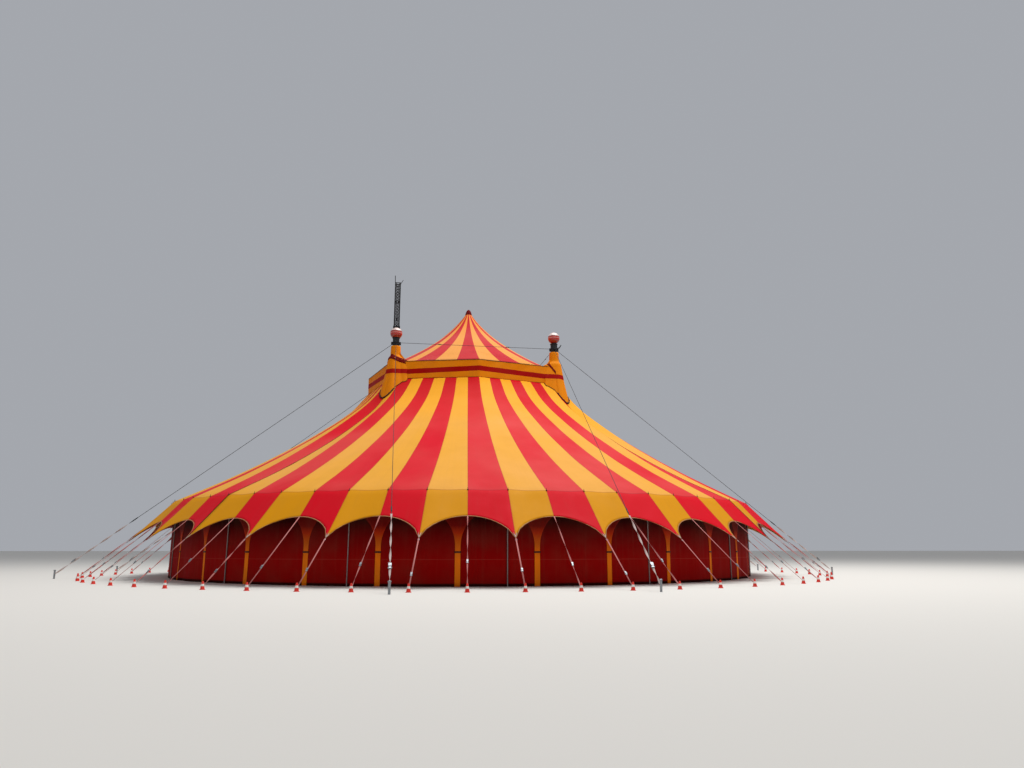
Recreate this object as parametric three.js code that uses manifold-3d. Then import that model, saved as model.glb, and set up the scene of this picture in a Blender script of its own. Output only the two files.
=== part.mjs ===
// Circus big top tent on four lattice masts, as a scale model at half of its real size.
// Millimetres, +Z up, the origin on the ground under the peak, the front towards -Y.
// Directions round the tent are counted in stripe edges: edge 0 lies on the front axis and
// edges run towards +X. A valance tip hangs at each even edge and a scallop's top lies at each odd one.
import * as THREE from 'three';
import { mergeVertices } from 'three/addons/utils/BufferGeometryUtils.js';
import Module from 'manifold-3d';

// Stripes and clearances
const stripeCount = 64;
const quarterStripes = 16;
const cornerEdge = 8;
const seatGap = 0.4;
const halfSplit = 0.3;
const weldDistance = 1e-3;

// Roof, from the cupola out to the knee over the side poles and down the valance
const kneeRadius = 9800;
const kneeHeight = 2245;
const roofSag = 1190;
const roofSagPower = 0.55;
const roofCloth = 10;
const roofRows = 5;
const roofRowPower = 1.4;
const tipRadius = 10925;
const tipHeight = 1095;
const scallopTopRadius = 10330;
const scallopTopHeight = 1605;
const scallopPower = 2.1;
const scallopEndPower = 0.65;
const scallopSide = 0.65;
const roofCornerHeight = 6040;

// Cupola: an octagon with its corners at the masts, a skirt round it and a concave cone over it
const cupolaSide = 3650;
const cupolaCorner = 2865;
const skirtTop = 6975;
const skirtHem = 6400;
const skirtCloth = 6;
const coneSpokes = 32;
const coneRows = 5;
const coneRowPower = 1.4;
const coneCloth = 8;
const coneStraight = 0.47;
const coneTopRadius = 60;
const coneTopHeight = 9690;
const capRadius = 92;
const capHeight = 130;

// Masts, square lattices with a solid head
const mastOffset = 2720;
const mastWidth = 200;
const chordWidth = 26;
const ringPitch = 1250;
const ringBar = 18;
const baseWidth = 420;
const baseThickness = 30;
const headBottom = 7545;
const headTop = 7855;
const headRadius = 120;
const headSides = 8;
const extensionTop = 9780;
const hornRadius = 12;
const hornFoot = 40;
const straightHorn = [-10, 270];
const bentHorn = [90, 120];
const weldOverlap = 20;
const ballRadius = 205;
const ballSegments = 12;
const ballBore = (mastWidth * Math.SQRT1_2 + seatGap) / Math.cos(Math.PI / ballSegments);

// Cloth sleeves round the masts, from the top down: height, radius on the tent's outside, and radius
// where the cloth sweeps over to the skirt and the cone
const sleeveProfile = [
  [7535, 155, 155],
  [7205, 166, 168],
  [7105, 236, 280],
  [7010, 249, 465],
  [6470, 332, 485],
  [5200, 722, 735],
];
const sleeveCloth = 6;
const sleeveSegments = 16;
const trimDepth = 1500;
const trimOverlap = 3;

// Steel frame between the masts, and the post that it carries up to the peak
const frameBottom = 6600;
const frameDepth = 120;
const frameWidth = 80;
const frameCollar = 30;
const collarHeight = 150;
const postRadius = 38;
const postHeadRadius = 59;
const postHeadLength = 60;
const postFlare = 30;
const postFootHeight = 20;
const turnedSegments = 16;

// Wall, and the poles and rope that hold it
const wallRadius = 9715;
const wallCloth = 6;
const wallStripes = 8;
const doorStart = 31;
const doorEnd = 33;
const poleRadius = 14;
const poleOffset = 17.9;
const poleSides = 6;
const poleGap = 1;
const wallRope = 21;
const ropeEndGap = 24;
const ropeDrop = 2;
const ropeLap = 5;

// Valance rope, straps, stakes and the cones over them
const hemRope = 12;
const hemGap = 0.8;
const hemRopeEndGap = 15;
const strapWidth = 26;
const strapThickness = 6;
const stakeRadius = 12100;
const strapFoot = 70;
const markerRadius = 60;
const markerTopRadius = 16;
const markerHeight = 180;
const markerSides = 6;

// Cables from the mast heads
const cableRadius = 7;
const cableSides = 4;
const guyCollarHeight = 7610;
const ringCollarHeight = 7670;
const collarDepth = 30;
const collarWall = 14;
const anchorReach = 12500;
const anchorSide = 2750;
const anchorRadius = 26;
const anchorLength = 260;

const wasm = await Module();
wasm.setup();

const tent = new THREE.Group();
tent.name = 'circus_big_top_tent';

// Colours

const roofCloths = cloth(0xd98a1e, 0.55);
const skirtCloths = cloth(0xd98a0e, 0.55);
const wallCloths = cloth(0x7a060c, 0.75);
const capCloth = cloth(0x7a0a10, 0.6);
const webbing = cloth(0xd9a0a0, 0.8);
const ballPaint = new THREE.MeshStandardMaterial({ color: 0xd8402e, roughness: 0.4, metalness: 0 });
const mastPaint = new THREE.MeshStandardMaterial({ color: 0x17181c, roughness: 0.5, metalness: 0.6 });
const galvanised = new THREE.MeshStandardMaterial({ color: 0x8d9196, roughness: 0.45, metalness: 0.8 });

function cloth(color, roughness) {
  return new THREE.MeshStandardMaterial({ color, roughness, metalness: 0 });
}

// Solids

function facingOut(geometry) {
  const position = geometry.attributes.position;
  const index = geometry.index;
  const a = new THREE.Vector3();
  const b = new THREE.Vector3();
  const c = new THREE.Vector3();
  let volume = 0;
  for (let i = 0; i < index.count; i += 3) {
    a.fromBufferAttribute(position, index.getX(i));
    b.fromBufferAttribute(position, index.getX(i + 1));
    c.fromBufferAttribute(position, index.getX(i + 2));
    volume += a.dot(b.cross(c));
  }
  if (volume < 0) {
    for (let i = 0; i < index.count; i += 3) {
      const first = index.getX(i);
      index.setX(i, index.getX(i + 2));
      index.setX(i + 2, first);
    }
  }
  return geometry;
}

function toSolid(geometry) {
  const bare = geometry.clone();
  bare.deleteAttribute('normal');
  bare.deleteAttribute('uv');
  const merged = mergeVertices(bare, weldDistance);
  return new wasm.Manifold(new wasm.Mesh({
    numProp: 3,
    vertProperties: Float32Array.from(merged.attributes.position.array),
    triVerts: Uint32Array.from(merged.index.array),
  }));
}

function toGeometry(solid) {
  const mesh = solid.getMesh();
  const geometry = new THREE.BufferGeometry();
  geometry.setAttribute('position', new THREE.BufferAttribute(mesh.vertProperties, 3));
  geometry.setIndex(new THREE.BufferAttribute(mesh.triVerts, 1));
  geometry.computeVertexNormals();
  return geometry;
}

function joined(geometries) {
  return geometries.map(toSolid).reduce((whole, piece) => whole.add(piece));
}

// An open sheet with thickness: place(u, v, w) gives a point, u along it, v down it and w through it
function sheet(columns, rows, place) {
  const geometry = new THREE.BoxGeometry(1, 1, 1, columns, rows, 1);
  const position = geometry.attributes.position;
  for (let i = 0; i < position.count; i += 1) {
    const point = place(position.getX(i) + 0.5, 0.5 - position.getY(i), 0.5 - position.getZ(i));
    position.setXYZ(i, point.x, point.y, point.z);
  }
  return facingOut(geometry);
}

// A sheet that closes on itself round the Z axis: place(segment, v, w)
function ringSheet(segments, rows, place) {
  const profile = [];
  for (let row = 0; row <= rows; row += 1) {
    profile.push(new THREE.Vector2(2, rows - row));
  }
  for (let row = rows; row >= 0; row -= 1) {
    profile.push(new THREE.Vector2(1, rows - row));
  }
  profile.push(profile[0].clone());
  const geometry = new THREE.LatheGeometry(profile, segments);
  const position = geometry.attributes.position;
  for (let i = 0; i < position.count; i += 1) {
    const segment = Math.floor(i / profile.length) % segments;
    const step = (i % profile.length) % (profile.length - 1);
    const inner = step > rows;
    const row = inner ? 2 * rows + 1 - step : step;
    const point = place(segment, row / rows, inner ? 1 : 0);
    position.setXYZ(i, point.x, point.y, point.z);
  }
  return facingOut(geometry);
}

function turned(points, segments) {
  const profile = points.map(([radius, height]) => new THREE.Vector2(radius, height));
  const geometry = new THREE.LatheGeometry(profile, segments);
  geometry.rotateX(Math.PI / 2);
  return facingOut(geometry);
}

function block(width, depth, height, x, y, z) {
  return new THREE.BoxGeometry(width, depth, height).translate(x, y, z);
}

function bar(start, end, radius, sides) {
  const along = new THREE.Vector3().subVectors(end, start);
  const geometry = new THREE.CylinderGeometry(radius, radius, along.length(), sides);
  const up = new THREE.Vector3(0, 1, 0);
  const turn = new THREE.Quaternion().setFromUnitVectors(up, along.clone().normalize());
  geometry.applyQuaternion(turn);
  const middle = new THREE.Vector3().addVectors(start, end).multiplyScalar(0.5);
  return geometry.translate(middle.x, middle.y, middle.z);
}

// A flat strap from start to end, its width level
function strap(start, end, width, thickness) {
  const along = new THREE.Vector3().subVectors(end, start);
  const length = along.length();
  const forward = along.normalize();
  const level = new THREE.Vector3(-forward.y, forward.x, 0).normalize();
  const normal = new THREE.Vector3().crossVectors(forward, level);
  const basis = new THREE.Matrix4().makeBasis(forward, level, normal);
  const geometry = new THREE.BoxGeometry(length, width, thickness).applyMatrix4(basis);
  const middle = new THREE.Vector3().addVectors(start, end).multiplyScalar(0.5);
  return geometry.translate(middle.x, middle.y, middle.z);
}

function add(name, geometry, material) {
  const mesh = new THREE.Mesh(geometry, material);
  mesh.name = name;
  tent.add(mesh);
  return mesh;
}

// Plan of the tent

function direction(edge) {
  const angle = (edge / stripeCount) * 2 * Math.PI;
  return new THREE.Vector2(Math.sin(angle), -Math.cos(angle));
}

// A ring of straight chords between the even edges, which carry the poles
function chordPoint(radius, edge) {
  const start = 2 * Math.floor(edge / 2);
  const from = direction(start).multiplyScalar(radius);
  const to = direction(start + 2).multiplyScalar(radius);
  return from.lerp(to, (edge - start) / 2);
}

// The octagon of the cupola, moved in by inset, at an edge of the first quarter
function octagonPoint(edge, inset) {
  const slope = Math.atan2(cupolaSide - cupolaCorner, cupolaCorner);
  const side = cupolaSide - inset / Math.cos(slope);
  const corner = cupolaCorner - inset / (Math.cos(slope) + Math.sin(slope));
  const fromCorner = Math.abs(edge - cornerEdge) / cornerEdge;
  const long = corner + (side - corner) * fromCorner;
  const short = corner * (1 - fromCorner);
  return edge <= cornerEdge ? new THREE.Vector2(short, -long) : new THREE.Vector2(long, -short);
}

// The roof hangs under the skirt's hem, and dips at the masts, where the sleeves cover it
function roofInnerHeight(edge) {
  const hem = skirtHem - seatGap;
  const dip = Math.max(0, 1 - Math.abs(edge - cornerEdge));
  return hem + (roofCornerHeight - hem) * dip;
}

// A scallop is flat at its top and turns down steeply beside the tips
function hemPoint(edge, outward = 0) {
  const fromTop = Math.abs((edge % 2) - 1);
  const share = 1 - (1 - fromTop ** scallopPower) ** scallopEndPower;
  const radius = scallopTopRadius + (tipRadius - scallopTopRadius) * share + outward;
  const height = scallopTopHeight + (tipHeight - scallopTopHeight) * share;
  const plan = direction(edge).multiplyScalar(radius);
  return new THREE.Vector3(plan.x, plan.y, height);
}

// Columns lie on the stripe edges, and one on each scallop's side, set towards its tip
function columnEdge(column) {
  const side = column % 2;
  const towardsTip = Math.floor(column / 2) % 2 === 0 ? -1 : 1;
  return column / 2 + side * towardsTip * (scallopSide - 0.5);
}

// The roof's upper face at an edge from one mast line, -8, to the next, 8, on the front of the tent:
// share 0 is at the cupola, 1 at the knee and 2 at the hem
function roofPoint(edge, share) {
  const column = Math.abs(edge);
  const knee = chordPoint(kneeRadius, column);
  const point = new THREE.Vector3(knee.x, knee.y, kneeHeight);
  if (share > 1) {
    point.lerp(hemPoint(column), share - 1);
  } else {
    const plan = octagonPoint(column, skirtCloth + seatGap).lerp(knee, share);
    const straight = roofInnerHeight(column) * (1 - share) + kneeHeight * share;
    const sag = roofSag * share ** roofSagPower * (1 - share);
    point.set(plan.x, plan.y, straight - sag);
  }
  point.x *= Math.sign(edge);
  return point;
}

// Roof

// Rows of the slope lie closer together at the cupola, where it is steepest
function roofShare(row) {
  return (row / roofRows) ** roofRowPower;
}

// A section of the roof between two mast lines, where it is laced to the next ones
function roofSection(lift, thickness, split) {
  const rows = roofRows + 1;
  const columns = 2 * quarterStripes;
  return sheet(columns, rows, (u, v, w) => {
    const row = Math.round(v * rows);
    const share = row > roofRows ? 2 : roofShare(row);
    const edge = columnEdge(Math.round(u * columns)) - cornerEdge;
    const point = roofPoint(edge, share);
    point.z += lift - w * thickness;
    const atStart = u < weldDistance;
    const atEnd = u > 1 - weldDistance;
    point.x += (atStart - atEnd) * split * Math.SQRT1_2;
    point.y -= (atStart + atEnd) * split * Math.SQRT1_2;
    return point;
  });
}

// Cupola

function cupolaRing(rows, placeAtEdge) {
  return ringSheet(coneSpokes, rows, (segment, v, w) => {
    const spokesPerQuarter = coneSpokes / 4;
    const quarter = Math.floor(segment / spokesPerQuarter);
    const edge = (segment % spokesPerQuarter) * (quarterStripes / spokesPerQuarter);
    const point = placeAtEdge(edge, v, w);
    return point.applyAxisAngle(new THREE.Vector3(0, 0, 1), quarter * Math.PI / 2);
  });
}

// The cone is concave: its radius grows with a share of the depth and with the square of the depth.
// It lies flat where the octagon's corners reach past its foot
function coneAt(edge, v, outward) {
  const base = octagonPoint(edge, -outward);
  const radius = coneTopRadius + (base.length() - coneTopRadius) * v ** coneRowPower;
  const footRadius = Math.min(base.length(), cupolaSide);
  const out = Math.min(1, (radius - coneTopRadius) / (footRadius - coneTopRadius));
  const bend = 1 - coneStraight;
  const depth = (Math.sqrt(coneStraight ** 2 + 4 * bend * out) - coneStraight) / (2 * bend);
  const foot = skirtTop + coneCloth + seatGap;
  const height = coneTopHeight + (foot - coneTopHeight) * depth;
  base.setLength(radius);
  return new THREE.Vector3(base.x, base.y, height);
}

function cupolaCone(lift, thickness, outward) {
  return cupolaRing(coneRows, (edge, v, w) => {
    const point = coneAt(edge, v, outward);
    point.z += lift - w * thickness;
    return point;
  });
}

function cupolaSkirt() {
  return cupolaRing(1, (edge, v, w) => {
    const plan = octagonPoint(edge, w * skirtCloth);
    return new THREE.Vector3(plan.x, plan.y, v < 0.5 ? skirtTop : skirtHem);
  });
}

// The space inside the cupola's skirt and cone, grown by the seat gap, which trims the sleeves
function cupolaSpace() {
  const wall = cupolaRing(1, (edge, v, w) => {
    const plan = octagonPoint(edge, w > 0.5 ? cupolaCorner / 2 : -seatGap);
    const top = coneAt(edge, 1, seatGap).z + seatGap;
    return new THREE.Vector3(plan.x, plan.y, v < 0.5 ? top : sleeveProfile.at(-1)[0] - trimDepth);
  });
  return toSolid(wall).add(toSolid(cupolaCone(seatGap, trimDepth, seatGap)));
}

function mastCorners() {
  return [[1, -1], [1, 1], [-1, 1], [-1, -1]];
}

function mastShaft(x, y, grown) {
  const width = mastWidth + 2 * grown;
  return toSolid(block(width, width, extensionTop, x, y, extensionTop / 2));
}

function withMastHoles(solid) {
  return mastCorners().reduce(
    (rest, [x, y]) => rest.subtract(mastShaft(x * mastOffset, y * mastOffset, seatGap)),
    solid,
  );
}

// Masts

function chords(bottom, top) {
  const reach = (mastWidth - chordWidth) / 2;
  return mastCorners().map(([x, y]) => block(
    chordWidth, chordWidth, top - bottom, x * reach, y * reach, (top + bottom) / 2,
  ));
}

function ringBars(height) {
  const reach = (mastWidth - chordWidth) / 2;
  const span = mastWidth - chordWidth;
  return [-reach, reach].flatMap((side) => [
    block(span, ringBar, ringBar, 0, side, height),
    block(ringBar, span, ringBar, side, 0, height),
  ]);
}

// A lattice mast, and the tall one runs on above its head and ends in two horns
function mast(topped) {
  const pieces = [
    block(baseWidth, baseWidth, baseThickness, 0, 0, baseThickness / 2),
    ...chords(baseThickness / 2, headBottom + weldOverlap),
    mastHead(),
  ];
  for (let height = ringPitch; height < headBottom; height += ringPitch) {
    pieces.push(...ringBars(height));
  }
  if (topped) {
    pieces.push(...chords(headTop - weldOverlap, extensionTop));
    const pitch = ringPitch / 2;
    for (let height = headTop + pitch; height < extensionTop - pitch / 2; height += pitch) {
      pieces.push(...ringBars(height));
    }
    pieces.push(...ringBars(extensionTop - ringBar / 2));
    pieces.push(...forkHorns());
  }
  return toGeometry(joined(pieces));
}

// The head and its collars have a flat side towards each side of the tent
function mastHead() {
  const profile = [[0, headBottom], [headRadius, headBottom], [headRadius, headTop], [0, headTop]];
  return turned(profile, headSides).rotateZ(Math.PI / headSides);
}

// Two horns stand on the tall mast, the left one straight and the right one bent outwards
function forkHorns() {
  const reach = (mastWidth - chordWidth) / 2;
  const foot = extensionTop - hornFoot;
  return [[-reach, straightHorn], [reach, bentHorn]].flatMap(([side, [lean, rise]]) => [
    block(ringBar, mastWidth - chordWidth, ringBar, side, 0, foot),
    bar(
      new THREE.Vector3(side, 0, foot),
      new THREE.Vector3(side + lean, 0, extensionTop + rise),
      hornRadius,
      cableSides,
    ),
  ]);
}

// A whole ball on a plain head, or one with a bore that a lattice runs through
function ball(bored) {
  const middle = headTop + seatGap + (bored ? Math.sqrt(ballRadius ** 2 - ballBore ** 2) : ballRadius);
  if (!bored) {
    const whole = new THREE.SphereGeometry(ballRadius, ballSegments, ballSegments / 2);
    return whole.rotateX(Math.PI / 2).translate(0, 0, middle);
  }
  const steps = ballSegments / 2;
  const widest = Math.acos(ballBore / ballRadius);
  const points = [];
  for (let step = 0; step <= steps; step += 1) {
    const angle = -widest + 2 * widest * step / steps;
    points.push([ballRadius * Math.cos(angle), middle + ballRadius * Math.sin(angle)]);
  }
  points.push([...points[0]]);
  return turned(points, ballSegments);
}

// Sleeves

// The front right mast's sleeve, which faces out along the tent's diagonal
function sleeve() {
  const rows = sleeveProfile.length - 1;
  const shell = ringSheet(sleeveSegments, rows, (segment, v, w) => {
    const [height, outer, inner] = sleeveProfile[Math.round(v * rows)];
    const angle = (segment / sleeveSegments) * 2 * Math.PI;
    const inwards = -Math.SQRT2 * Math.cos(angle + Math.PI / 4);
    const sweep = THREE.MathUtils.clamp(inwards, 0, 1);
    const reach = outer + (inner - outer) * sweep - w * sleeveCloth;
    const x = mastOffset + reach * Math.cos(angle);
    const y = -mastOffset + reach * Math.sin(angle);
    return new THREE.Vector3(x, y, height);
  });
  return toSolid(shell);
}

// The roof under a sleeve, as a thick body that two sections share at the mast line
function roofUnderSleeve() {
  const front = roofSection(seatGap, trimDepth, -trimOverlap);
  const right = front.clone().rotateZ(Math.PI / 2);
  return toSolid(front).add(toSolid(right));
}

function trimmedSleeve() {
  const whole = sleeve();
  return toGeometry(whole.subtract(cupolaSpace()).subtract(roofUnderSleeve()));
}

// Frame between the masts, with a collar round each, and the post on its crossing

function cupolaFrame() {
  const middle = frameBottom + frameDepth / 2;
  const span = 2 * mastOffset;
  const collar = mastWidth + 2 * (seatGap + frameCollar);
  const beams = [-mastOffset, 0, mastOffset].flatMap((side) => [
    block(span, frameWidth, frameDepth, 0, side, middle),
    block(frameWidth, span, frameDepth, side, 0, middle),
  ]);
  const collars = mastCorners().map(([x, y]) => block(
    collar, collar, collarHeight, x * mastOffset, y * mastOffset, middle,
  ));
  return toGeometry(withMastHoles(joined([...beams, ...collars])));
}

function peakPost() {
  const foot = frameBottom + frameDepth + seatGap;
  const headFoot = coneTopHeight - postHeadLength;
  return turned([
    [0, foot],
    [postRadius * 2, foot],
    [postRadius * 2, foot + postFootHeight],
    [postRadius, foot + postFootHeight],
    [postRadius, headFoot - postFlare],
    [postHeadRadius, headFoot],
    [postHeadRadius, coneTopHeight],
    [0, coneTopHeight],
  ], turnedSegments);
}

// The cap's profile as shares of its radius and height
function peakCap() {
  const foot = coneTopHeight + seatGap;
  const shares = [[0, 0], [0.7, 0], [1, 0.2], [0.8, 0.6], [0.35, 0.9], [0, 1]];
  return turned(
    shares.map(([out, up]) => [out * capRadius, foot + up * capHeight]),
    turnedSegments,
  );
}

// Walls, poles and the rope along their tops

// A pole stops just under the roof at its outer side, where the roof is lowest
function poleTop(edge, outside) {
  const column = cornerEdge - Math.abs((edge % quarterStripes) - cornerEdge);
  const knee = chordPoint(kneeRadius, column);
  const inner = roofPoint(column, roofShare(roofRows - 1));
  const run = Math.hypot(inner.x - knee.x, inner.y - knee.y);
  const slope = (inner.z - kneeHeight) / run;
  const reach = wallRadius + outside * poleOffset + poleRadius;
  return kneeHeight - roofCloth - poleGap + (kneeRadius - reach) * slope;
}

// The rope runs level, just under the lowest pole top
function wallRopeHeight() {
  const tops = [];
  for (let edge = 0; edge < quarterStripes; edge += 2) {
    tops.push(poleTop(edge, 1));
  }
  return Math.min(...tops) - wallRope / 2 - ropeDrop;
}

// One hung wall between two stripe edges, kept clear of the next walls at its ends
function wallSegment(startEdge, endEdge) {
  const top = wallRopeHeight() - wallRope / 2 - seatGap;
  const stripeWidth = 2 * Math.PI * wallRadius / stripeCount;
  const start = startEdge + halfSplit / stripeWidth;
  const end = endEdge - halfSplit / stripeWidth;
  return sheet(endEdge - startEdge, 1, (u, v, w) => {
    const edge = startEdge + u * (endEdge - startEdge);
    const radius = wallRadius + wallCloth / 2 - w * wallCloth;
    const plan = chordPoint(radius, THREE.MathUtils.clamp(edge, start, end));
    return new THREE.Vector3(plan.x, plan.y, v < 0.5 ? top : 0);
  });
}

function sidePoles(quarter) {
  const ropeHeight = wallRopeHeight();
  const pieces = [];
  for (let step = 0; step < quarterStripes; step += 2) {
    const edge = quarter * quarterStripes + step;
    const spoke = direction(edge);
    const outside = edge % 4 === 0 ? 1 : -1;
    const last = step === quarterStripes - 2;
    const from = direction(edge).multiplyScalar(wallRadius);
    const to = direction(edge + 2).multiplyScalar(wallRadius);
    const along = to.clone().sub(from).normalize();
    from.addScaledVector(along, step === 0 ? 0 : -ropeLap);
    to.addScaledVector(along, last ? -ropeEndGap : ropeLap);
    pieces.push(bar(
      new THREE.Vector3(from.x, from.y, ropeHeight),
      new THREE.Vector3(to.x, to.y, ropeHeight),
      wallRope / 2,
      cableSides,
    ));
    if (edge !== (doorStart + doorEnd) / 2) {
      const plan = spoke.multiplyScalar(wallRadius + outside * poleOffset);
      pieces.push(bar(
        new THREE.Vector3(plan.x, plan.y, 0),
        new THREE.Vector3(plan.x, plan.y, poleTop(edge, outside)),
        poleRadius,
        poleSides,
      ));
    }
  }
  return toGeometry(joined(pieces));
}

// Valance rope with a strap from each stripe edge to a stake under a marker cone

function eaveGuys() {
  const columns = 2 * quarterStripes;
  const rope = sheet(columns, 1, (u, v, w) => {
    const point = hemPoint(columnEdge(Math.round(u * columns)), hemGap + (1 - w) * hemRope);
    point.x += u < weldDistance ? halfSplit : 0;
    point.y -= u > 1 - weldDistance ? hemRopeEndGap : 0;
    point.z -= v * roofCloth;
    return point;
  });
  const pieces = [rope];
  for (let edge = 0; edge < quarterStripes; edge += 1) {
    const top = hemPoint(edge, hemGap + hemRope / 2);
    top.z -= roofCloth / 2;
    const plan = direction(edge).multiplyScalar(stakeRadius);
    const foot = new THREE.Vector3(plan.x, plan.y, strapFoot);
    pieces.push(strap(top, foot, strapWidth, strapThickness));
    pieces.push(markerCone(plan));
  }
  return toGeometry(joined(pieces));
}

function markerCone(plan) {
  return turned([
    [0, 0],
    [markerRadius, 0],
    [markerTopRadius, markerHeight],
    [0, markerHeight],
  ], markerSides).translate(plan.x, plan.y, 0);
}

// Cables

function headCollar(height) {
  const inner = headRadius + seatGap;
  return turned([
    [inner, height - collarDepth / 2],
    [inner + collarWall, height - collarDepth / 2],
    [inner + collarWall, height + collarDepth / 2],
    [inner, height + collarDepth / 2],
    [inner, height - collarDepth / 2],
  ], headSides).rotateZ(Math.PI / headSides);
}

// From a mast's centre to the middle of its collar's flat side
function collarFlat() {
  return (headRadius + seatGap + collarWall / 2) * Math.cos(Math.PI / headSides);
}

// Two guys from one mast head, square to the tent's sides, down to their ground anchors
function mastGuys() {
  const start = collarFlat();
  const heads = [
    new THREE.Vector3(mastOffset, -mastOffset - start, guyCollarHeight),
    new THREE.Vector3(mastOffset + start, -mastOffset, guyCollarHeight),
  ];
  const feet = [
    new THREE.Vector3(anchorSide, -anchorReach, anchorLength / 2),
    new THREE.Vector3(anchorReach, -anchorSide, anchorLength / 2),
  ];
  const pieces = [headCollar(guyCollarHeight).translate(mastOffset, -mastOffset, 0)];
  heads.forEach((head, i) => {
    pieces.push(bar(head, feet[i], cableRadius, cableSides));
    const floor = feet[i].clone().setZ(0);
    pieces.push(bar(floor, feet[i].clone().setZ(anchorLength), anchorRadius, cableSides));
  });
  return toGeometry(joined(pieces));
}

function ringCables() {
  const reach = mastOffset - collarFlat();
  const pieces = mastCorners().map(([x, y]) => (
    headCollar(ringCollarHeight).translate(x * mastOffset, y * mastOffset, 0)
  ));
  [-mastOffset, mastOffset].forEach((side) => {
    pieces.push(bar(
      new THREE.Vector3(-reach, side, ringCollarHeight),
      new THREE.Vector3(reach, side, ringCollarHeight),
      cableRadius,
      cableSides,
    ));
    pieces.push(bar(
      new THREE.Vector3(side, -reach, ringCollarHeight),
      new THREE.Vector3(side, reach, ringCollarHeight),
      cableRadius,
      cableSides,
    ));
  });
  return toGeometry(joined(pieces));
}

// Assembly: the sections and the quarters follow one another round the tent from the front and the
// front right one

const sectionNames = ['front', 'right', 'rear', 'left'];
const quarterNames = ['front_right', 'rear_right', 'rear_left', 'front_left'];
const tallMast = 3;
const roofGeometry = roofSection(0, roofCloth, halfSplit);
const sleeveGeometry = trimmedSleeve();
const eaveGeometry = eaveGuys();
const guyGeometry = mastGuys();

sectionNames.forEach((name, section) => {
  add(`${name}_roof`, roofGeometry, roofCloths).rotation.z = section * Math.PI / 2;
});

quarterNames.forEach((name, quarter) => {
  const turn = quarter * Math.PI / 2;
  const [x, y] = mastCorners()[quarter];
  const topped = quarter === tallMast;
  add(`${name}_sleeve`, sleeveGeometry, skirtCloths).rotation.z = turn;
  add(`${name}_eave_guys`, eaveGeometry, webbing).rotation.z = turn;
  add(`${name}_mast_guys`, guyGeometry, galvanised).rotation.z = turn;
  add(`${name}_mast`, mast(topped), mastPaint).position.set(x * mastOffset, y * mastOffset, 0);
  add(`${name}_mast_ball`, ball(topped), ballPaint).position.set(x * mastOffset, y * mastOffset, 0);
  add(`${name}_side_poles`, sidePoles(quarter), galvanised);
});

for (let start = 0; start < stripeCount; start += wallStripes) {
  const end = start + wallStripes;
  const from = start === doorEnd - 1 ? doorEnd : start;
  const to = end === doorStart + 1 ? doorStart : end;
  add(`wall_${start / wallStripes + 1}`, wallSegment(from, to), wallCloths);
}

add('cupola_roof', toGeometry(withMastHoles(toSolid(cupolaCone(0, coneCloth, 0)))), roofCloths);
add('cupola_skirt', cupolaSkirt(), skirtCloths);
add('cupola_frame', cupolaFrame(), mastPaint);
add('peak_post', peakPost(), mastPaint);
add('peak_cap', peakCap(), capCloth);
add('mast_head_cables', ringCables(), galvanised);

export default tent;
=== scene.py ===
# Circus big top tent at half of its real size: the looks of every surface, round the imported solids.
# Metres, +Z up, the front towards -Y. Directions round the tent are counted in stripe edges:
# edge 0 lies on the front axis, edges run towards +X and 64 of them make a full turn. Down the roof,
# a share runs from 0 at the cupola to 1 at the knee and 2 at the hem.
import math

import bmesh
import bpy
from mathutils import Matrix, Vector, noise
from mathutils.bvhtree import BVHTree


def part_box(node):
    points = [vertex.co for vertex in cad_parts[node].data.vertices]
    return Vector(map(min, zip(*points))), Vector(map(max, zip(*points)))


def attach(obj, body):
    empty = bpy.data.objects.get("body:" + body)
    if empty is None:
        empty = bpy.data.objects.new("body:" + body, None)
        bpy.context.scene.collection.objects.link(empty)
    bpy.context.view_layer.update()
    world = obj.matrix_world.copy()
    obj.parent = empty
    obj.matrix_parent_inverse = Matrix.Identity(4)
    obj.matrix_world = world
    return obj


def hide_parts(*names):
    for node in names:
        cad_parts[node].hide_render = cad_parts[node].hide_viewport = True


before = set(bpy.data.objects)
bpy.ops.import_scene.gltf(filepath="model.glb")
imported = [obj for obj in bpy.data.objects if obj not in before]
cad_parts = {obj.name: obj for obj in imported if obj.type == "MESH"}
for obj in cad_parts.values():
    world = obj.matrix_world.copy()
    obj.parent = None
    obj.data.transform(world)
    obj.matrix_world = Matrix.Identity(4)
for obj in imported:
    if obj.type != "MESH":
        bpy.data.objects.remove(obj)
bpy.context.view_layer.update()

# Stripes
STRIPES = 64
SECTION_EDGES = 16
CORNER_EDGE = 8
QUARTER_TURN = math.pi / 2
SECTIONS = {name: i * QUARTER_TURN for i, name in enumerate(("front", "right", "rear", "left"))}
QUARTERS = {
    name: i * QUARTER_TURN
    for i, name in enumerate(("front_right", "rear_right", "rear_left", "front_left"))
}
TALL_MAST = "front_left"
UP = Vector((0, 0, 1))

# Cloth, trims and webbing
CLOTH_THICKNESS = 0.003
TRIM_THICKNESS = 0.002
TRIM_LIFT = 0.004
WEBBING_THICKNESS = 0.003
SEAT_GAP = 0.0004
SHARP_ANGLE = 40
BLOCK_BEVEL = 0.003

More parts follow.
